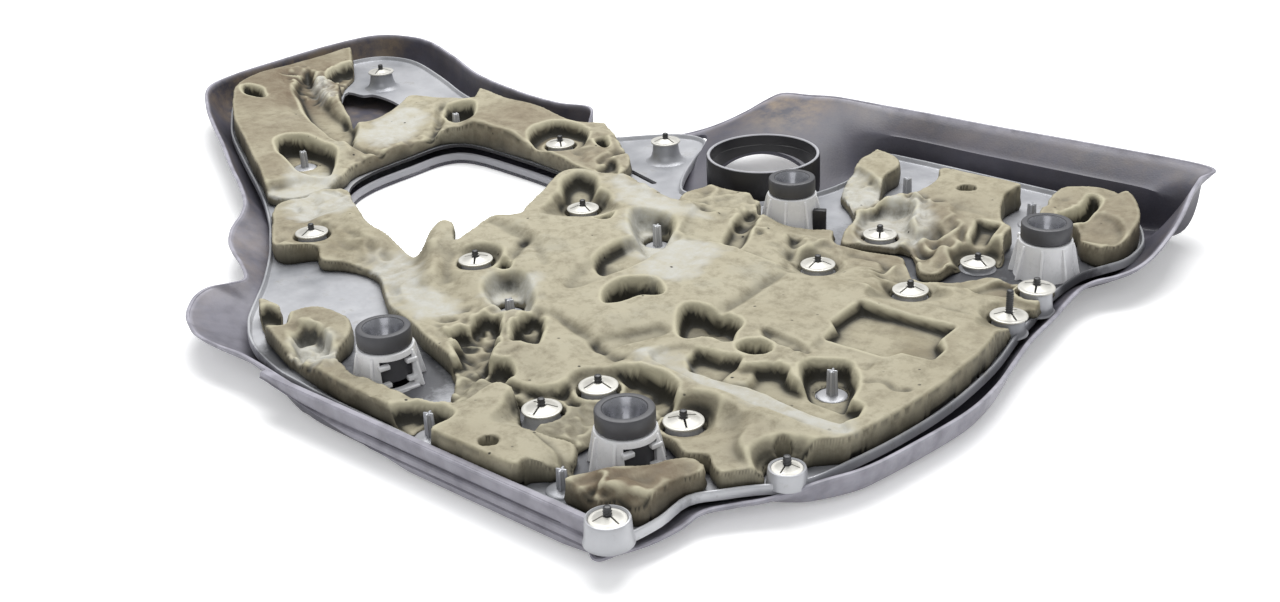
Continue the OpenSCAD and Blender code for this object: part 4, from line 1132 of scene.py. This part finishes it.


# In a sheet's shapes "to" is a height over the plate, "by" a step from the ground, "soft" the width of the
# slope and "torn" how ragged it is; "round" gives fewer points to a shape with straight sides, and "dark"
# paints shade into a deep pocket or hole.
foamPiece(
    "foamArm", "foam_arm", seed=3,
    outline=[[-385, 182], [-389, 165], [-388, 140], [-387, 110], [-383, 84], [-376, 64], [-366, 46],
             [-345, 30], [-320, 14], [-300, 1], [-276, -12], [-250, -25], [-225, -38], [-205, -48],
             [-182, -60], [-160, -54], [-156, -36], [-160, -12], [-169, 8], [-169.5, 55], [-168, 85],
             [-150, 98.5], [-120, 98], [-90, 96.5], [-60, 92.8], [-46, 90], [-30, 87.5], [-12, 91],
             [-10, 100], [-14, 112], [-22, 122], [-34, 130], [-48, 138], [-62, 147], [-74, 155], [-86, 163],
             [-110, 158], [-135, 156], [-172, 158], [-204, 168], [-208, 164], [-196, 148], [-192, 138],
             [-215, 132], [-242, 124], [-236, 108], [-226, 82], [-230, 60], [-250, 70], [-285, 90],
             [-312, 112], [-330, 130], [-345, 152], [-364, 168]],
    levels=[[-378, 150, 16], [-380, 95, 17], [-350, 40, 17], [-300, 10, 17], [-250, -20, 17],
            [-215, -42, 16], [-182, -50, 14], [-163, -45, 9], [-345, 110, 13], [-300, 98, 12],
            [-265, 80, 12], [-235, 30, 18], [-195, 18, 16], [-165, 5, 10], [-200, 60, 12], [-190, 40, 12],
            [-225, 105, 14], [-172, 70, 8], [-165, 96, 13], [-150, 106, 19], [-140, 135, 19],
            [-190, 155, 18], [-118, 104, 18], [-90, 98, 12.5], [-62, 95, 11.5], [-90, 158, 16],
            [-58, 120, 16], [-58, 140, 15], [-40, 92, 10], [-36, 118, 12], [-30, 128, 10], [-18, 110, 8]],
    shapes=[
        {"to": 4.5, "soft": 6, "torn": 0.3, "at": [[-342, 96, 13], [-326, 80, 14], [-308, 70, 14],
            [-278, 52, 14], [-246, 35, 14], [-215, 24, 14], [-196, 22, 14], [-206, 40, 8], [-225, 48, 6],
            [-252, 58, 6], [-279, 70, 6], [-305, 84, 6], [-332, 99, 6]]},
        {"to": 2, "soft": 2.5, "torn": 1.5, "at": [[-350, 152], [-340, 152], [-326, 134], [-310, 123],
            [-318, 116], [-335, 119], [-346, 132]]},
        {"to": 2, "soft": 3, "at": [[-200, 121], [-187, 133], [-174, 122], [-163, 107], [-170, 101],
            [-186, 108]]},
        {"to": 1.5, "soft": 3, "at": [[-244, 2], [-236, 11], [-215, 13], [-195, 9], [-180, -4], [-168, -19],
            [-182, -26], [-202, -21], [-227, -12]]},
        {"to": 5, "soft": 2, "at": [[-367, 64], [-356, 67], [-338, 59], [-331, 53], [-345, 51], [-358, 56]]},
        {"to": 5, "soft": 2.5, "torn": 0.2, "at": [[-105, 136], [-94, 141], [-78, 138], [-67, 128],
            [-65, 113], [-73, 102], [-88, 100], [-101, 107], [-107, 121]]},
        {"to": 4, "soft": 2, "at": [[-58, 128], [-54, 132], [-46, 127], [-48, 122]]},
        {"to": 4, "soft": 3, "torn": 1.2, "at": [[-31, 112], [-22, 108], [-13, 98], [-16, 90], [-26, 94]]},
        {"to": 8, "soft": 7, "at": [[-176, -36], [-158, -24], [-150, -44], [-160, -66], [-186, -68]]}],
    paths=[
        {"by": -4.5, "wide": 3.2, "at": [[-204, 119], [-190, 105], [-178, 92], [-167, 73], [-160, 54],
            [-162, 40], [-174, 28], [-190, 25], [-206, 33]]},
        {"by": 1.2, "wide": 2.2, "at": [[-338, 88], [-322, 80], [-300, 64], [-278, 50], [-250, 39],
            [-225, 30], [-200, 23], [-182, 14]]},
        {"by": -1.0, "wide": 3.0, "at": [[-330, 78], [-300, 57], [-275, 43], [-245, 32], [-218, 24]]},
        {"by": 1.0, "wide": 2.5, "at": [[-165, 101], [-140, 102], [-100, 100], [-60, 94], [-30, 88]]},
        {"by": -1.5, "wide": 2.5, "at": [[-245, 60], [-262, 74], [-290, 84]]}],
    folds=[
        {"by": 2.2, "size": 6, "at": [[-372, 122], [-335, 126], [-305, 104], [-280, 86], [-300, 82],
            [-335, 88], [-368, 100]]},
        {"by": 1.3, "size": 5, "at": [[-176, 100], [-160, 90], [-152, 60], [-156, 20], [-150, -10],
            [-172, 0], [-180, 40], [-182, 80]]},
        {"by": 1.6, "size": 7, "at": [[-80, 150], [-40, 135], [-20, 130], [-12, 100], [-60, 100],
            [-76, 120]]},
        {"by": 1.5, "size": 5, "at": [[-346, 150], [-310, 120], [-330, 112], [-350, 130]]}],
    films=[
        [[-222, 98], [-200, 100], [-180, 76], [-172, 48], [-190, 36], [-212, 48]],
        [[-170, -40], [-150, -30], [-150, -60], [-180, -66]],
        [[-350, 118], [-320, 108], [-290, 88], [-320, 94]],
        [[-190, -8], [-160, -10], [-152, -40], [-176, -44], [-196, -26]]])

foamPiece(
    "foamCentre", "foam_centre", seed=8, holes=[(285, -124, 3.2)], pastRim=[(299, 84, 17)],
    outline=[[-158, -34], [-162, -62], [-150, -78], [-130, -94], [-118, -105], [-105, -113], [-91, -115],
             [-84, -107], [-77, -101], [-65, -108], [-52, -102], [-37, -99], [-21, -102], [-6, -111],
             [7, -120], [22, -129], [48, -138], [70, -146], [98, -156], [110, -164], [119, -176],
             [128, -180], [133, -172], [134, -160], [150, -158], [165, -161], [174, -168], [177, -180],
             [186, -184], [198, -181], [203, -172], [203, -158], [210, -150], [226, -144], [240, -148],
             [252, -155], [262, -151], [272, -158], [290, -160], [292, -138], [297, -118], [312, -100],
             [318, -60], [318, -10], [314, 20], [309, 52], [312, 74], [310, 92], [300, 100], [286, 97],
             [272, 98], [262, 98], [250, 84], [241, 77], [229, 76], [216, 88], [206, 99], [194, 96],
             [182, 90], [170, 86], [161, 94], [154, 104], [140, 96], [126, 92], [112, 90], [100, 106],
             [80, 109], [60, 107], [54, 92], [58, 74], [40, 74], [8, 82], [-6, 76], [-22, 73], [-28, 60],
             [-14, 28], [-4, 5], [0, -5], [-14, -20], [-8, -34], [-6, -52], [-12, -48], [-19, -41],
             [-27, -39], [-32, -46], [-27, -57], [-19, -68], [-20, -74], [-40, -68], [-78, -59], [-95, -51],
             [-122, -35], [-142, -24]],
    levels=[[-22, 62, 18], [0, 15, 19], [20, -8, 20], [50, -15, 20], [74, -15, 19], [60, 25, 19],
            [30, 52, 17], [85, 55, 17], [-4, -30, 18], [18, -42, 17], [60, -48, 19], [40, -75, 16],
            [78, -62, 16], [15, -88, 13], [0, -98, 9], [-20, -95, 6], [40, -112, 11], [60, -125, 11],
            [22, -115, 8], [-60, -74, 13], [-60, -92, 7], [-40, -95, 5], [-100, -62, 14], [-96, -108, 12],
            [-112, -95, 12], [-128, -50, 8], [-130, -75, 8], [-150, -50, 6], [-80, -90, 10], [110, 0, 15],
            [140, 10, 16], [150, -40, 16], [135, -75, 16], [100, -85, 15], [125, -92, 12], [160, -80, 11],
            [163, -105, 9], [200, 10, 16.5], [205, -30, 15.5], [230, 24, 16.5], [300, 25, 16],
            [310, -40, 15], [308, -88, 14], [262, -36, 14], [235, -58, 15], [190, -74, 14], [180, -102, 17],
            [200, -106, 17.5], [240, -111, 17.5], [270, -114, 17], [292, -108, 15.5], [130, -118, 14],
            [160, -132, 13], [112, -138, 13], [140, -148, 10], [284, -128, 14], [280, -150, 10],
            [250, -128, 9], [240, -144, 9], [222, -142, 8], [112, 70, 15], [140, 55, 15], [160, 70, 12],
            [196, 68, 10], [222, 52, 14], [262, 60, 14], [286, 60, 14], [80, 95, 13], [150, 96, 8],
            [200, 90, 6], [228, 72, 7], [256, 84, 7], [282, 88, 11], [304, 88, 12], [299, 70, 11]],
    shapes=[
        {"to": 4.2, "soft": 1.6, "torn": 0.6, "dark": 0.35, "at": [[102, -151], [120, -151], [160, -150],
            [166, -132], [178, -115], [214, -115], [220, -150], [200, -200], [100, -200]]},
        {"by": -2.6, "soft": 3.5, "at": [[94, 34], [130, 35], [174, 31], [186, 33], [240, 35], [306, 42],
            [312, 104], [94, 112]]},
        {"to": 3, "soft": 3, "torn": 1.5, "at": [[266, 76], [276, 70], [288, 78], [286, 92], [272, 96]]},
        {"to": 10, "soft": 4, "torn": 0.2, "at": [[82, 8], [90, 11], [100, 2], [103, -25], [96, -36],
            [84, -28], [80, -10]]},
        {"by": -3, "soft": 7, "torn": 0.2, "at": [[86, -24], [101, -22], [100, -48], [92, -62], [84, -50]]},
        {"to": 7, "soft": 3, "at": [[104, 88], [113, 86], [133, 40], [125, 37], [112, 60]]},
        {"to": 1, "soft": 2.2, "torn": 0.3, "dark": 0.95, "at": [[112, -38], [118, -31], [126, -27],
            [135, -33], [140, -40], [131, -46], [128, -57], [124, -63], [119, -60], [112, -50]]},
        {"to": 3, "soft": 2.2, "torn": 0.2, "dark": 0.6, "at": [[161, -42], [170, -37], [186, -37],
            [197, -42], [200, -52], [204, -61], [190, -61], [186, -69], [178, -67], [168, -56]]},
        {"to": 1, "soft": 1.6, "torn": 1.4, "dark": 1.0, "at": [[212, -56], [219, -52], [226, -55],
            [225, -62], [219, -65], [213, -62]]},
        {"to": 12, "soft": 2, "at": [[212, -39], [241, -43], [241, -49], [226, -48], [214, -45]]},
        {"to": 8.5, "soft": 1.2, "torn": 0.1, "round": 1, "at": [[235, 13], [289, 17], [290, 0], [297, -7],
            [298, -19], [281, -20], [278, -29], [242, -29], [240, -16], [235, -12]]},
        {"by": -1.8, "soft": 1.4, "torn": 0.1, "round": 1, "at": [[240, -31], [276, -31], [279, -47],
            [262, -44], [250, -53], [243, -53]]},
        {"to": 2, "soft": 2.2, "at": [[249, -53], [258, -44], [265, -42], [272, -50], [281, -60],
            [287, -79], [276, -80], [262, -74], [252, -63]]},
        {"to": 12, "soft": 2.5, "at": [[183, -82], [197, -77], [206, -94], [240, -91], [262, -93],
            [297, -94], [300, -106], [240, -106], [188, -101]]},
        {"to": 6, "soft": 1.8, "round": 2, "at": [[197, -77], [210, -75], [220, -71], [225, -80],
            [236, -68], [246, -67], [254, -75], [290, -76], [297, -80], [297, -94], [262, -92], [240, -91],
            [206, -94]]},
        {"to": 10, "soft": 3, "onlyUp": True, "at": [[221, -74], [230, -72], [236, -86], [228, -92],
            [222, -88]]},
        {"to": 4.5, "soft": 7, "torn": 0.2, "at": [[49, -74], [55, -67], [65, -68], [77, -77], [87, -85],
            [92, -95], [80, -99], [64, -93], [53, -85]]},
        {"to": 4.5, "soft": 7, "torn": 0.2, "at": [[55, 40], [62, 44], [75, 45], [86, 36], [95, 18],
            [98, 7], [88, 7], [74, 17], [63, 28]]},
        {"to": 7, "soft": 6, "at": [[-18, 66], [-8, 67], [0, 63], [12, 48], [19, 36], [12, 25], [2, 31],
            [-8, 43], [-17, 54]]},
        {"to": 1, "soft": 2, "dark": 1.0, "at": [[37, 31], [44, 29], [51, 18], [45, 16], [38, 24]]},
        {"to": 1, "soft": 1.5, "dark": 1.0, "at": [[35, -54], [40, -55], [48, -63], [44, -65], [36, -61]]},
        {"to": 1, "soft": 2, "dark": 1.0, "at": [[76, -126], [84, -123], [92, -129], [90, -137], [82, -138],
            [76, -133]]},
        {"to": 2, "soft": 2, "dark": 0.9, "at": [[118, -144], [126, -141], [134, -147], [130, -153],
            [120, -152]]},
        {"to": 3, "soft": 2.5, "dark": 0.8, "at": [[108, -150], [113, -144], [117, -148], [115, -157],
            [109, -157]]},
        {"to": 3.5, "soft": 2.5, "torn": 1, "at": [[97, -95], [108, -97], [123, -117], [122, -122],
            [108, -120], [99, -108]]},
        {"to": 2, "soft": 2.5, "torn": 2.2, "at": [[77, -112], [88, -109], [98, -125], [107, -130],
            [115, -146], [112, -158], [98, -152], [88, -137], [79, -124]]},
        {"by": 2, "soft": 5, "at": [[-96, -114], [-86, -116], [-78, -106], [-84, -98], [-98, -102]]},
        {"to": 15, "soft": 2.5, "onlyUp": True, "at": [[268, -117], [282, -113], [293, -120], [291, -146],
            [272, -141], [266, -128]]},
        {"by": -2.5, "soft": 4, "at": [[160, -66], [170, -68], [160, -88], [152, -104], [144, -98],
            [150, -84]]}],
    paths=[
        {"by": 5.0, "wide": 8, "at": [[-28, -44], [-22, -54], [-12, -66]]},
        {"by": 2.5, "wide": 5, "at": [[-12, -66], [4, -80], [16, -93]]},
        {"by": -2.5, "wide": 5, "at": [[4, -64], [14, -78], [26, -90]]},
        {"by": -3.4, "wide": 4.5, "at": [[176, 30], [178, 5], [179, -20], [178, -38]]},
        {"by": -0.8, "wide": 2.0, "at": [[187, 0], [188, -36]]},
        {"by": -2.2, "wide": 1.3, "at": [[284, -56], [292, -52], [300, -55], [306, -52]]},
        {"by": -1.6, "wide": 6, "at": [[106, 26], [118, 18], [126, 0], [130, -20]]},
        {"by": -2.5, "wide": 3.5, "at": [[98, 26], [98, 4]]},
        {"by": -4, "wide": 4, "at": [[30, -33], [36, -44], [40, -56]]},
        {"by": -1.6, "wide": 4, "at": [[-12, -22], [10, -26], [40, -34], [64, -50]]},
        {"by": 1.0, "wide": 4, "at": [[-12, -16], [10, -19], [44, -27]]},
        {"by": -2.5, "wide": 3.0, "at": [[98, -92], [112, -90], [134, -95], [165, -103], [182, -107]]},
        {"by": 1.0, "wide": 2.2, "at": [[171, -104], [195, -111], [240, -113], [275, -116]]},
        {"by": 1.0, "wide": 2.0, "at": [[98, 32], [130, 33], [172, 29]]},
        {"by": 1.0, "wide": 2.0, "at": [[184, 31], [240, 33], [304, 40]]},
        {"by": -3.0, "wide": 3.5, "at": [[146, 78], [162, 52], [170, 38]]},
        {"by": -2.0, "wide": 4.0, "at": [[214, 66], [226, 50], [232, 38]]},
        {"by": 2.0, "wide": 3.5, "at": [[10, 77], [40, 70], [66, 66], [92, 66]]},
        {"by": 1.4, "wide": 4, "at": [[-140, -60], [-110, -52], [-84, -66], [-50, -76]]},
        {"by": -2.0, "wide": 5, "at": [[-150, -46], [-128, -62], [-120, -80]]}],
    folds=[
        {"by": 2.6, "size": 6, "at": [[104, -152], [160, -150], [176, -118], [236, -118], [240, -142],
            [200, -186], [120, -182]]},
        {"by": 1.5, "size": 9, "at": [[-130, -80], [-90, -70], [-40, -78], [0, -90], [40, -108], [30, -125],
            [-20, -105], [-70, -100], [-100, -112]]},
        {"by": 2.4, "size": 6, "at": [[60, -108], [100, -92], [125, -118], [118, -152], [84, -146],
            [60, -130]]},
        {"by": 1.6, "size": 8, "at": [[8, 76], [60, 66], [100, 66], [124, 84], [104, 106], [58, 106],
            [50, 80]]},
        {"by": 2.2, "size": 7, "at": [[96, 84], [130, 78], [134, 60], [112, 60]]},
        {"by": 2.0, "size": 8, "at": [[150, 84], [210, 84], [230, 70], [220, 50], [196, 56], [160, 48],
            [140, 60]]},
        {"by": 0.9, "size": 6, "at": [[255, 92], [262, 80], [300, 50], [310, 30], [300, 34], [260, 60]]},
        {"by": 1.2, "size": 6, "at": [[-160, -36], [-140, -26], [-118, -40], [-130, -72], [-155, -60]]},
        {"by": 0.8, "size": 5, "at": [[184, -72], [240, -68], [256, -52], [236, -44], [210, -40],
            [196, -60]]}],
    films=[
        [[-160, -36], [-125, -32], [-100, -50], [-120, -78], [-155, -66]],
        [[185, -92], [298, -95], [298, -106], [190, -102]],
        [[-30, -70], [20, -100], [60, -112], [50, -132], [0, -115], [-40, -98]],
        [[54, 44], [94, 24], [99, 4], [80, 6], [60, 26]],
        [[47, -74], [60, -64], [80, -72], [95, -95], [78, -102], [54, -90]],
        [[104, 24], [132, 22], [136, -20], [110, -24]],
        [[10, 76], [60, 66], [90, 60], [60, 46], [30, 50]]])

foamPiece(
    "foamSideStrip", "foam_side_strip", seed=14, holes=[(178, -206, 4.8)], pastRim=[(176, -214, 33)],
    outline=[[-44, -168], [-26, -167], [-16, -174], [-8, -160], [4, -156], [20, -157], [34, -168],
             [40, -182], [54, -192], [80, -195], [100, -196], [118, -194], [130, -189], [139, -184],
             [138, -172], [139, -163], [147, -161], [158, -166], [166, -174], [176, -183], [188, -180],
             [202, -176], [210, -182], [214, -189], [224, -190.5], [236, -190], [244, -186], [250, -176],
             [252, -166], [258, -158], [268, -160], [271, -168], [267, -178], [268, -190], [266, -203],
             [256, -205], [249, -209], [240, -214], [232, -212], [226, -206], [222, -196], [214, -195],
             [211, -199], [203, -206], [201, -214.5], [170, -216], [150, -216], [144, -211], [120, -208],
             [70, -207], [40, -203], [14, -197], [-8, -190], [-26, -180]],
    levels=[[-38, -172, 12], [0, -164, 14], [22, -168, 13], [30, -190, 7], [60, -200, 13], [100, -204, 13],
            [130, -193, 12], [146, -166, 15], [150, -180, 15], [155, -198, 15.5], [180, -208, 15.5],
            [184, -192, 15], [200, -184, 12], [200, -212, 15], [219, -193, 4], [235, -204, 15],
            [248, -198, 17], [262, -192, 16], [262, -172, 14], [260, -162, 11]],
    shapes=[
        {"to": 3, "soft": 3, "at": [[-32, -172], [-18, -171], [-6, -180], [-14, -186], [-28, -183]]},
        {"to": 3, "soft": 3, "torn": 2, "at": [[8, -180], [16, -174], [34, -182], [34, -194], [20, -194]]},
        {"to": 2, "soft": 3, "at": [[113, -208], [120, -199], [133, -194], [144, -198], [146, -206],
            [142, -218], [126, -218]]},
        {"by": -3.5, "soft": 2.5, "at": [[160, -176], [172, -186], [188, -187], [206, -190], [216, -196],
            [216, -176], [190, -170]]},
        {"by": -4, "soft": 3, "at": [[240, -206], [250, -204], [262, -200], [270, -196], [270, -212],
            [240, -216]]}],
    paths=[
        {"by": 1.2, "wide": 3, "at": [[130, -190], [142, -200], [146, -210]]}],
    folds=[
        {"by": 2.4, "size": 6, "at": [[0, -170], [40, -176], [60, -195], [40, -205], [10, -195]]},
        {"by": 2.2, "size": 8, "at": [[228, -210], [240, -192], [256, -180], [262, -160], [272, -170],
            [270, -200], [250, -208]]},
        {"by": 0.9, "size": 7, "at": [[60, -204], [120, -205], [120, -192], [60, -192]]}],
    films=[
        [[8, -178], [40, -180], [50, -196], [20, -196]]])

foamPiece(
    "foamWing", "foam_wing", seed=21, holes=[(198, 184, 5.6)],
    outline=[[108, 216], [116, 215], [134, 208], [141, 198], [142, 182], [149, 165], [156, 154], [166, 160],
             [172, 168], [174, 182], [172, 194], [167, 203], [174, 208], [220, 208], [223, 202], [223, 188],
             [228, 174], [238, 158], [247, 152], [250, 138], [256, 124], [252, 116], [243, 110], [240, 98],
             [238, 84], [228, 82], [218, 96], [206, 106], [194, 102], [180, 96], [170, 92], [163, 102],
             [158, 122], [152, 130], [138, 144], [128, 152], [120, 170], [115, 190]],
    levels=[[112, 210, 15], [130, 200, 15], [135, 185, 14], [125, 165, 11], [150, 140, 9], [158, 140, 12],
            [176, 200, 17], [215, 200, 17], [200, 175, 17], [180, 165, 15], [230, 160, 13], [210, 150, 13],
            [246, 130, 13], [236, 105, 12], [215, 112, 9], [170, 110, 8], [180, 140, 9], [190, 97, 5],
            [215, 101, 5], [236, 88, 6], [168, 97, 5], [234, 98, 8]],
    shapes=[
        {"by": -4, "soft": 2.5, "at": [[114, 184], [142, 172], [160, 160], [152, 130], [126, 152]]},
        {"to": 3.5, "soft": 4, "torn": 2.4, "at": [[160, 140], [170, 152], [182, 150], [190, 136],
            [198, 118], [184, 104], [168, 112]]},
        {"to": 6, "soft": 2.0, "round": 1, "at": [[226, 151], [238, 152], [244, 128], [234, 127]]},
        {"by": -3, "soft": 4, "torn": 2, "at": [[206, 134], [216, 128], [222, 104], [210, 108]]}],
    paths=[
        {"by": 1.2, "wide": 2.0, "at": [[114, 184], [130, 178], [145, 170]]},
        {"by": 3.0, "wide": 3.5, "at": [[178, 160], [186, 144], [196, 126]]},
        {"by": -0.9, "wide": 3.0, "at": [[170, 170], [186, 162], [210, 160], [230, 160]]},
        {"by": 1.4, "wide": 2.5, "at": [[246, 148], [250, 128]]}],
    folds=[
        {"by": 1.8, "size": 6, "at": [[118, 176], [160, 162], [156, 130], [128, 150]]},
        {"by": 2.2, "size": 8, "at": [[164, 160], [200, 160], [240, 120], [236, 86], [166, 96], [158, 130]]}],
    films=[
        [[164, 156], [196, 150], [206, 110], [180, 100], [164, 120]],
        [[118, 176], [156, 160], [150, 134], [128, 150]]])

foamPiece(
    "foamCorner", "foam_corner", seed=33,
    outline=[[245, 212], [251, 222], [262, 229], [273, 230], [278, 226], [284, 233], [288, 232], [297, 214],
             [307, 192], [309, 168], [306, 158], [302, 154], [288, 158], [277, 174], [262, 168],
             [250, 178]],
    levels=[[252, 212, 17], [262, 224, 17], [262, 195, 15], [275, 222, 15], [284, 225, 19], [300, 195, 18],
            [305, 170, 14], [290, 170, 13]],
    shapes=[
        {"to": 3, "soft": 3.5, "at": [[266, 214], [271, 213], [275, 200], [275, 184], [268, 174],
            [262, 184], [268, 198]]},
        {"by": -2.5, "soft": 3, "at": [[278, 190], [292, 190], [304, 178], [306, 162], [286, 160],
            [278, 176]]}],
    paths=[
        {"by": 1.2, "wide": 3, "at": [[280, 228], [282, 210], [284, 190]]},
        {"by": -1.5, "wide": 4, "at": [[255, 200], [262, 185]]}],
    folds=[
        {"by": 1.4, "size": 6, "at": [[254, 200], [268, 200], [268, 178], [254, 182]]}],
    films=[])
print("stage: foam")

# The hard pieces, grouped under material names, are attached to the root, and the solids they stand for are
# hidden
hard = {"cover_plastic": [outerCover, flange, sideRail, studs], "plate_plastic": [carrierPlate] + sleeveObjs,
        "nut_metal": [pushNuts], "collar_plastic": [fillerCollar, collarHighlightBand, blackPeg],
        "rubber": [o for pair in mountObjs for o in pair]}
for slotName, objs in hard.items():
    for o in objs:
        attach(o, "root")
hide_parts("outer_cover")
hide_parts("carrier_plate")
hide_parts("filler_collar")
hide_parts("push_nuts")
for i, pair in enumerate(mountObjs):
    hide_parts(f"rubber_mount_{i + 1}")

# Floor, light and camera
studio = {"world": 0.45, "keyPower": 34.0, "fillPower": 5.0, "paperGlow": 0.24, "floorSize": 12}
photo = {"eye": (662, -635, 398.87), "ahead": (-0.669, 0.743, 0), "pitch": 25.28, "roll": 2.85, "lens": 45.37}
white = (1, 1, 1, 1)


def floorPaper():
    # matt white paper that glossy surfaces and the camera see as white, and that keeps the shadow
    mat = newMaterial("whitePaper")
    matt = addNode(mat, "BsdfDiffuse", {"in:Color": white})
    glow = addNode(mat, "Emission", {"in:Color": white, "in:Strength": studio["paperGlow"]})
    ray = addNode(mat, "LightPath").node.outputs
    gate = addNode(mat, "Math", {"operation": "MAXIMUM"}, n0=ray["Is Camera Ray"], n1=ray["Is Glossy Ray"])
    both = addNode(mat, "AddShader", n0=matt, n1=glow)
    pick = addNode(mat, "MixShader", n0=gate, n1=matt, n2=both)
    addNode(mat, "OutputMaterial", Surface=pick)
    return mat


def studioWorld():
    # soft light all round, with plain white behind for the camera
    world = bpy.data.worlds.new("studioWorld")
    world.use_nodes = True
    world.node_tree.nodes.clear()
    ray = addNode(world, "LightPath").node.outputs
    light = addNode(world, "Background", {"in:Color": (0.97, 0.985, 1, 1), "in:Strength": studio["world"]})
    behind = addNode(world, "Background", {"in:Color": white, "in:Strength": 1.0})
    pick = addNode(world, "MixShader", n0=ray["Is Camera Ray"], n1=light, n2=behind)
    addNode(world, "OutputWorld", Surface=pick)
    return world


def addLamp(name, place, size, power):
    data = bpy.data.lights.new(name, "AREA")
    data.shape = "RECTANGLE"
    data.size, data.size_y = size
    data.energy = power
    lamp = bpy.data.objects.new(name, data)
    bpy.context.scene.collection.objects.link(lamp)
    lamp.location = place
    lamp.rotation_euler = (-Vector(place)).to_track_quat("-Z", "Y").to_euler()


def addCamera():
    cam = bpy.data.cameras.new("photoCamera")
    cam.sensor_width = 36
    cam.lens = photo["lens"]
    cam.clip_start, cam.clip_end = 0.01, 50
    obj = bpy.data.objects.new("photoCamera", cam)
    bpy.context.scene.collection.objects.link(obj)
    pitch, roll = math.radians(photo["pitch"]), math.radians(photo["roll"])
    overhead = Vector((0, 0, 1))
    ahead = Vector(photo["ahead"]).normalized() * math.cos(pitch) - overhead * math.sin(pitch)
    right = ahead.cross(overhead).normalized()
    up = right.cross(ahead)
    across = right * math.cos(roll) - up * math.sin(roll)
    upright = right * math.sin(roll) + up * math.cos(roll)
    axes = (across, upright, -ahead, Vector(toFrame(photo["eye"])))
    obj.matrix_world = Matrix([[axis[row] for axis in axes] for row in range(3)] + [[0, 0, 0, 1]])
    bpy.context.scene.camera = obj


pickOnly()
bpy.ops.mesh.primitive_plane_add(size=studio["floorSize"], location=(0, 0, -0.0005))
floor = bpy.context.active_object
floor.name = "studioFloor"
floor.data.materials.append(floorPaper())
bpy.context.scene.world = studioWorld()
addLamp("overheadSoftbox", (-0.25, 0.55, 1.5), (1.6, 1.2), studio["keyPower"])
addLamp("frontFill", (0.9, -1.2, 1.0), (1.2, 1.0), studio["fillPower"])
addCamera()
bpy.context.scene.view_settings.view_transform = "Standard"
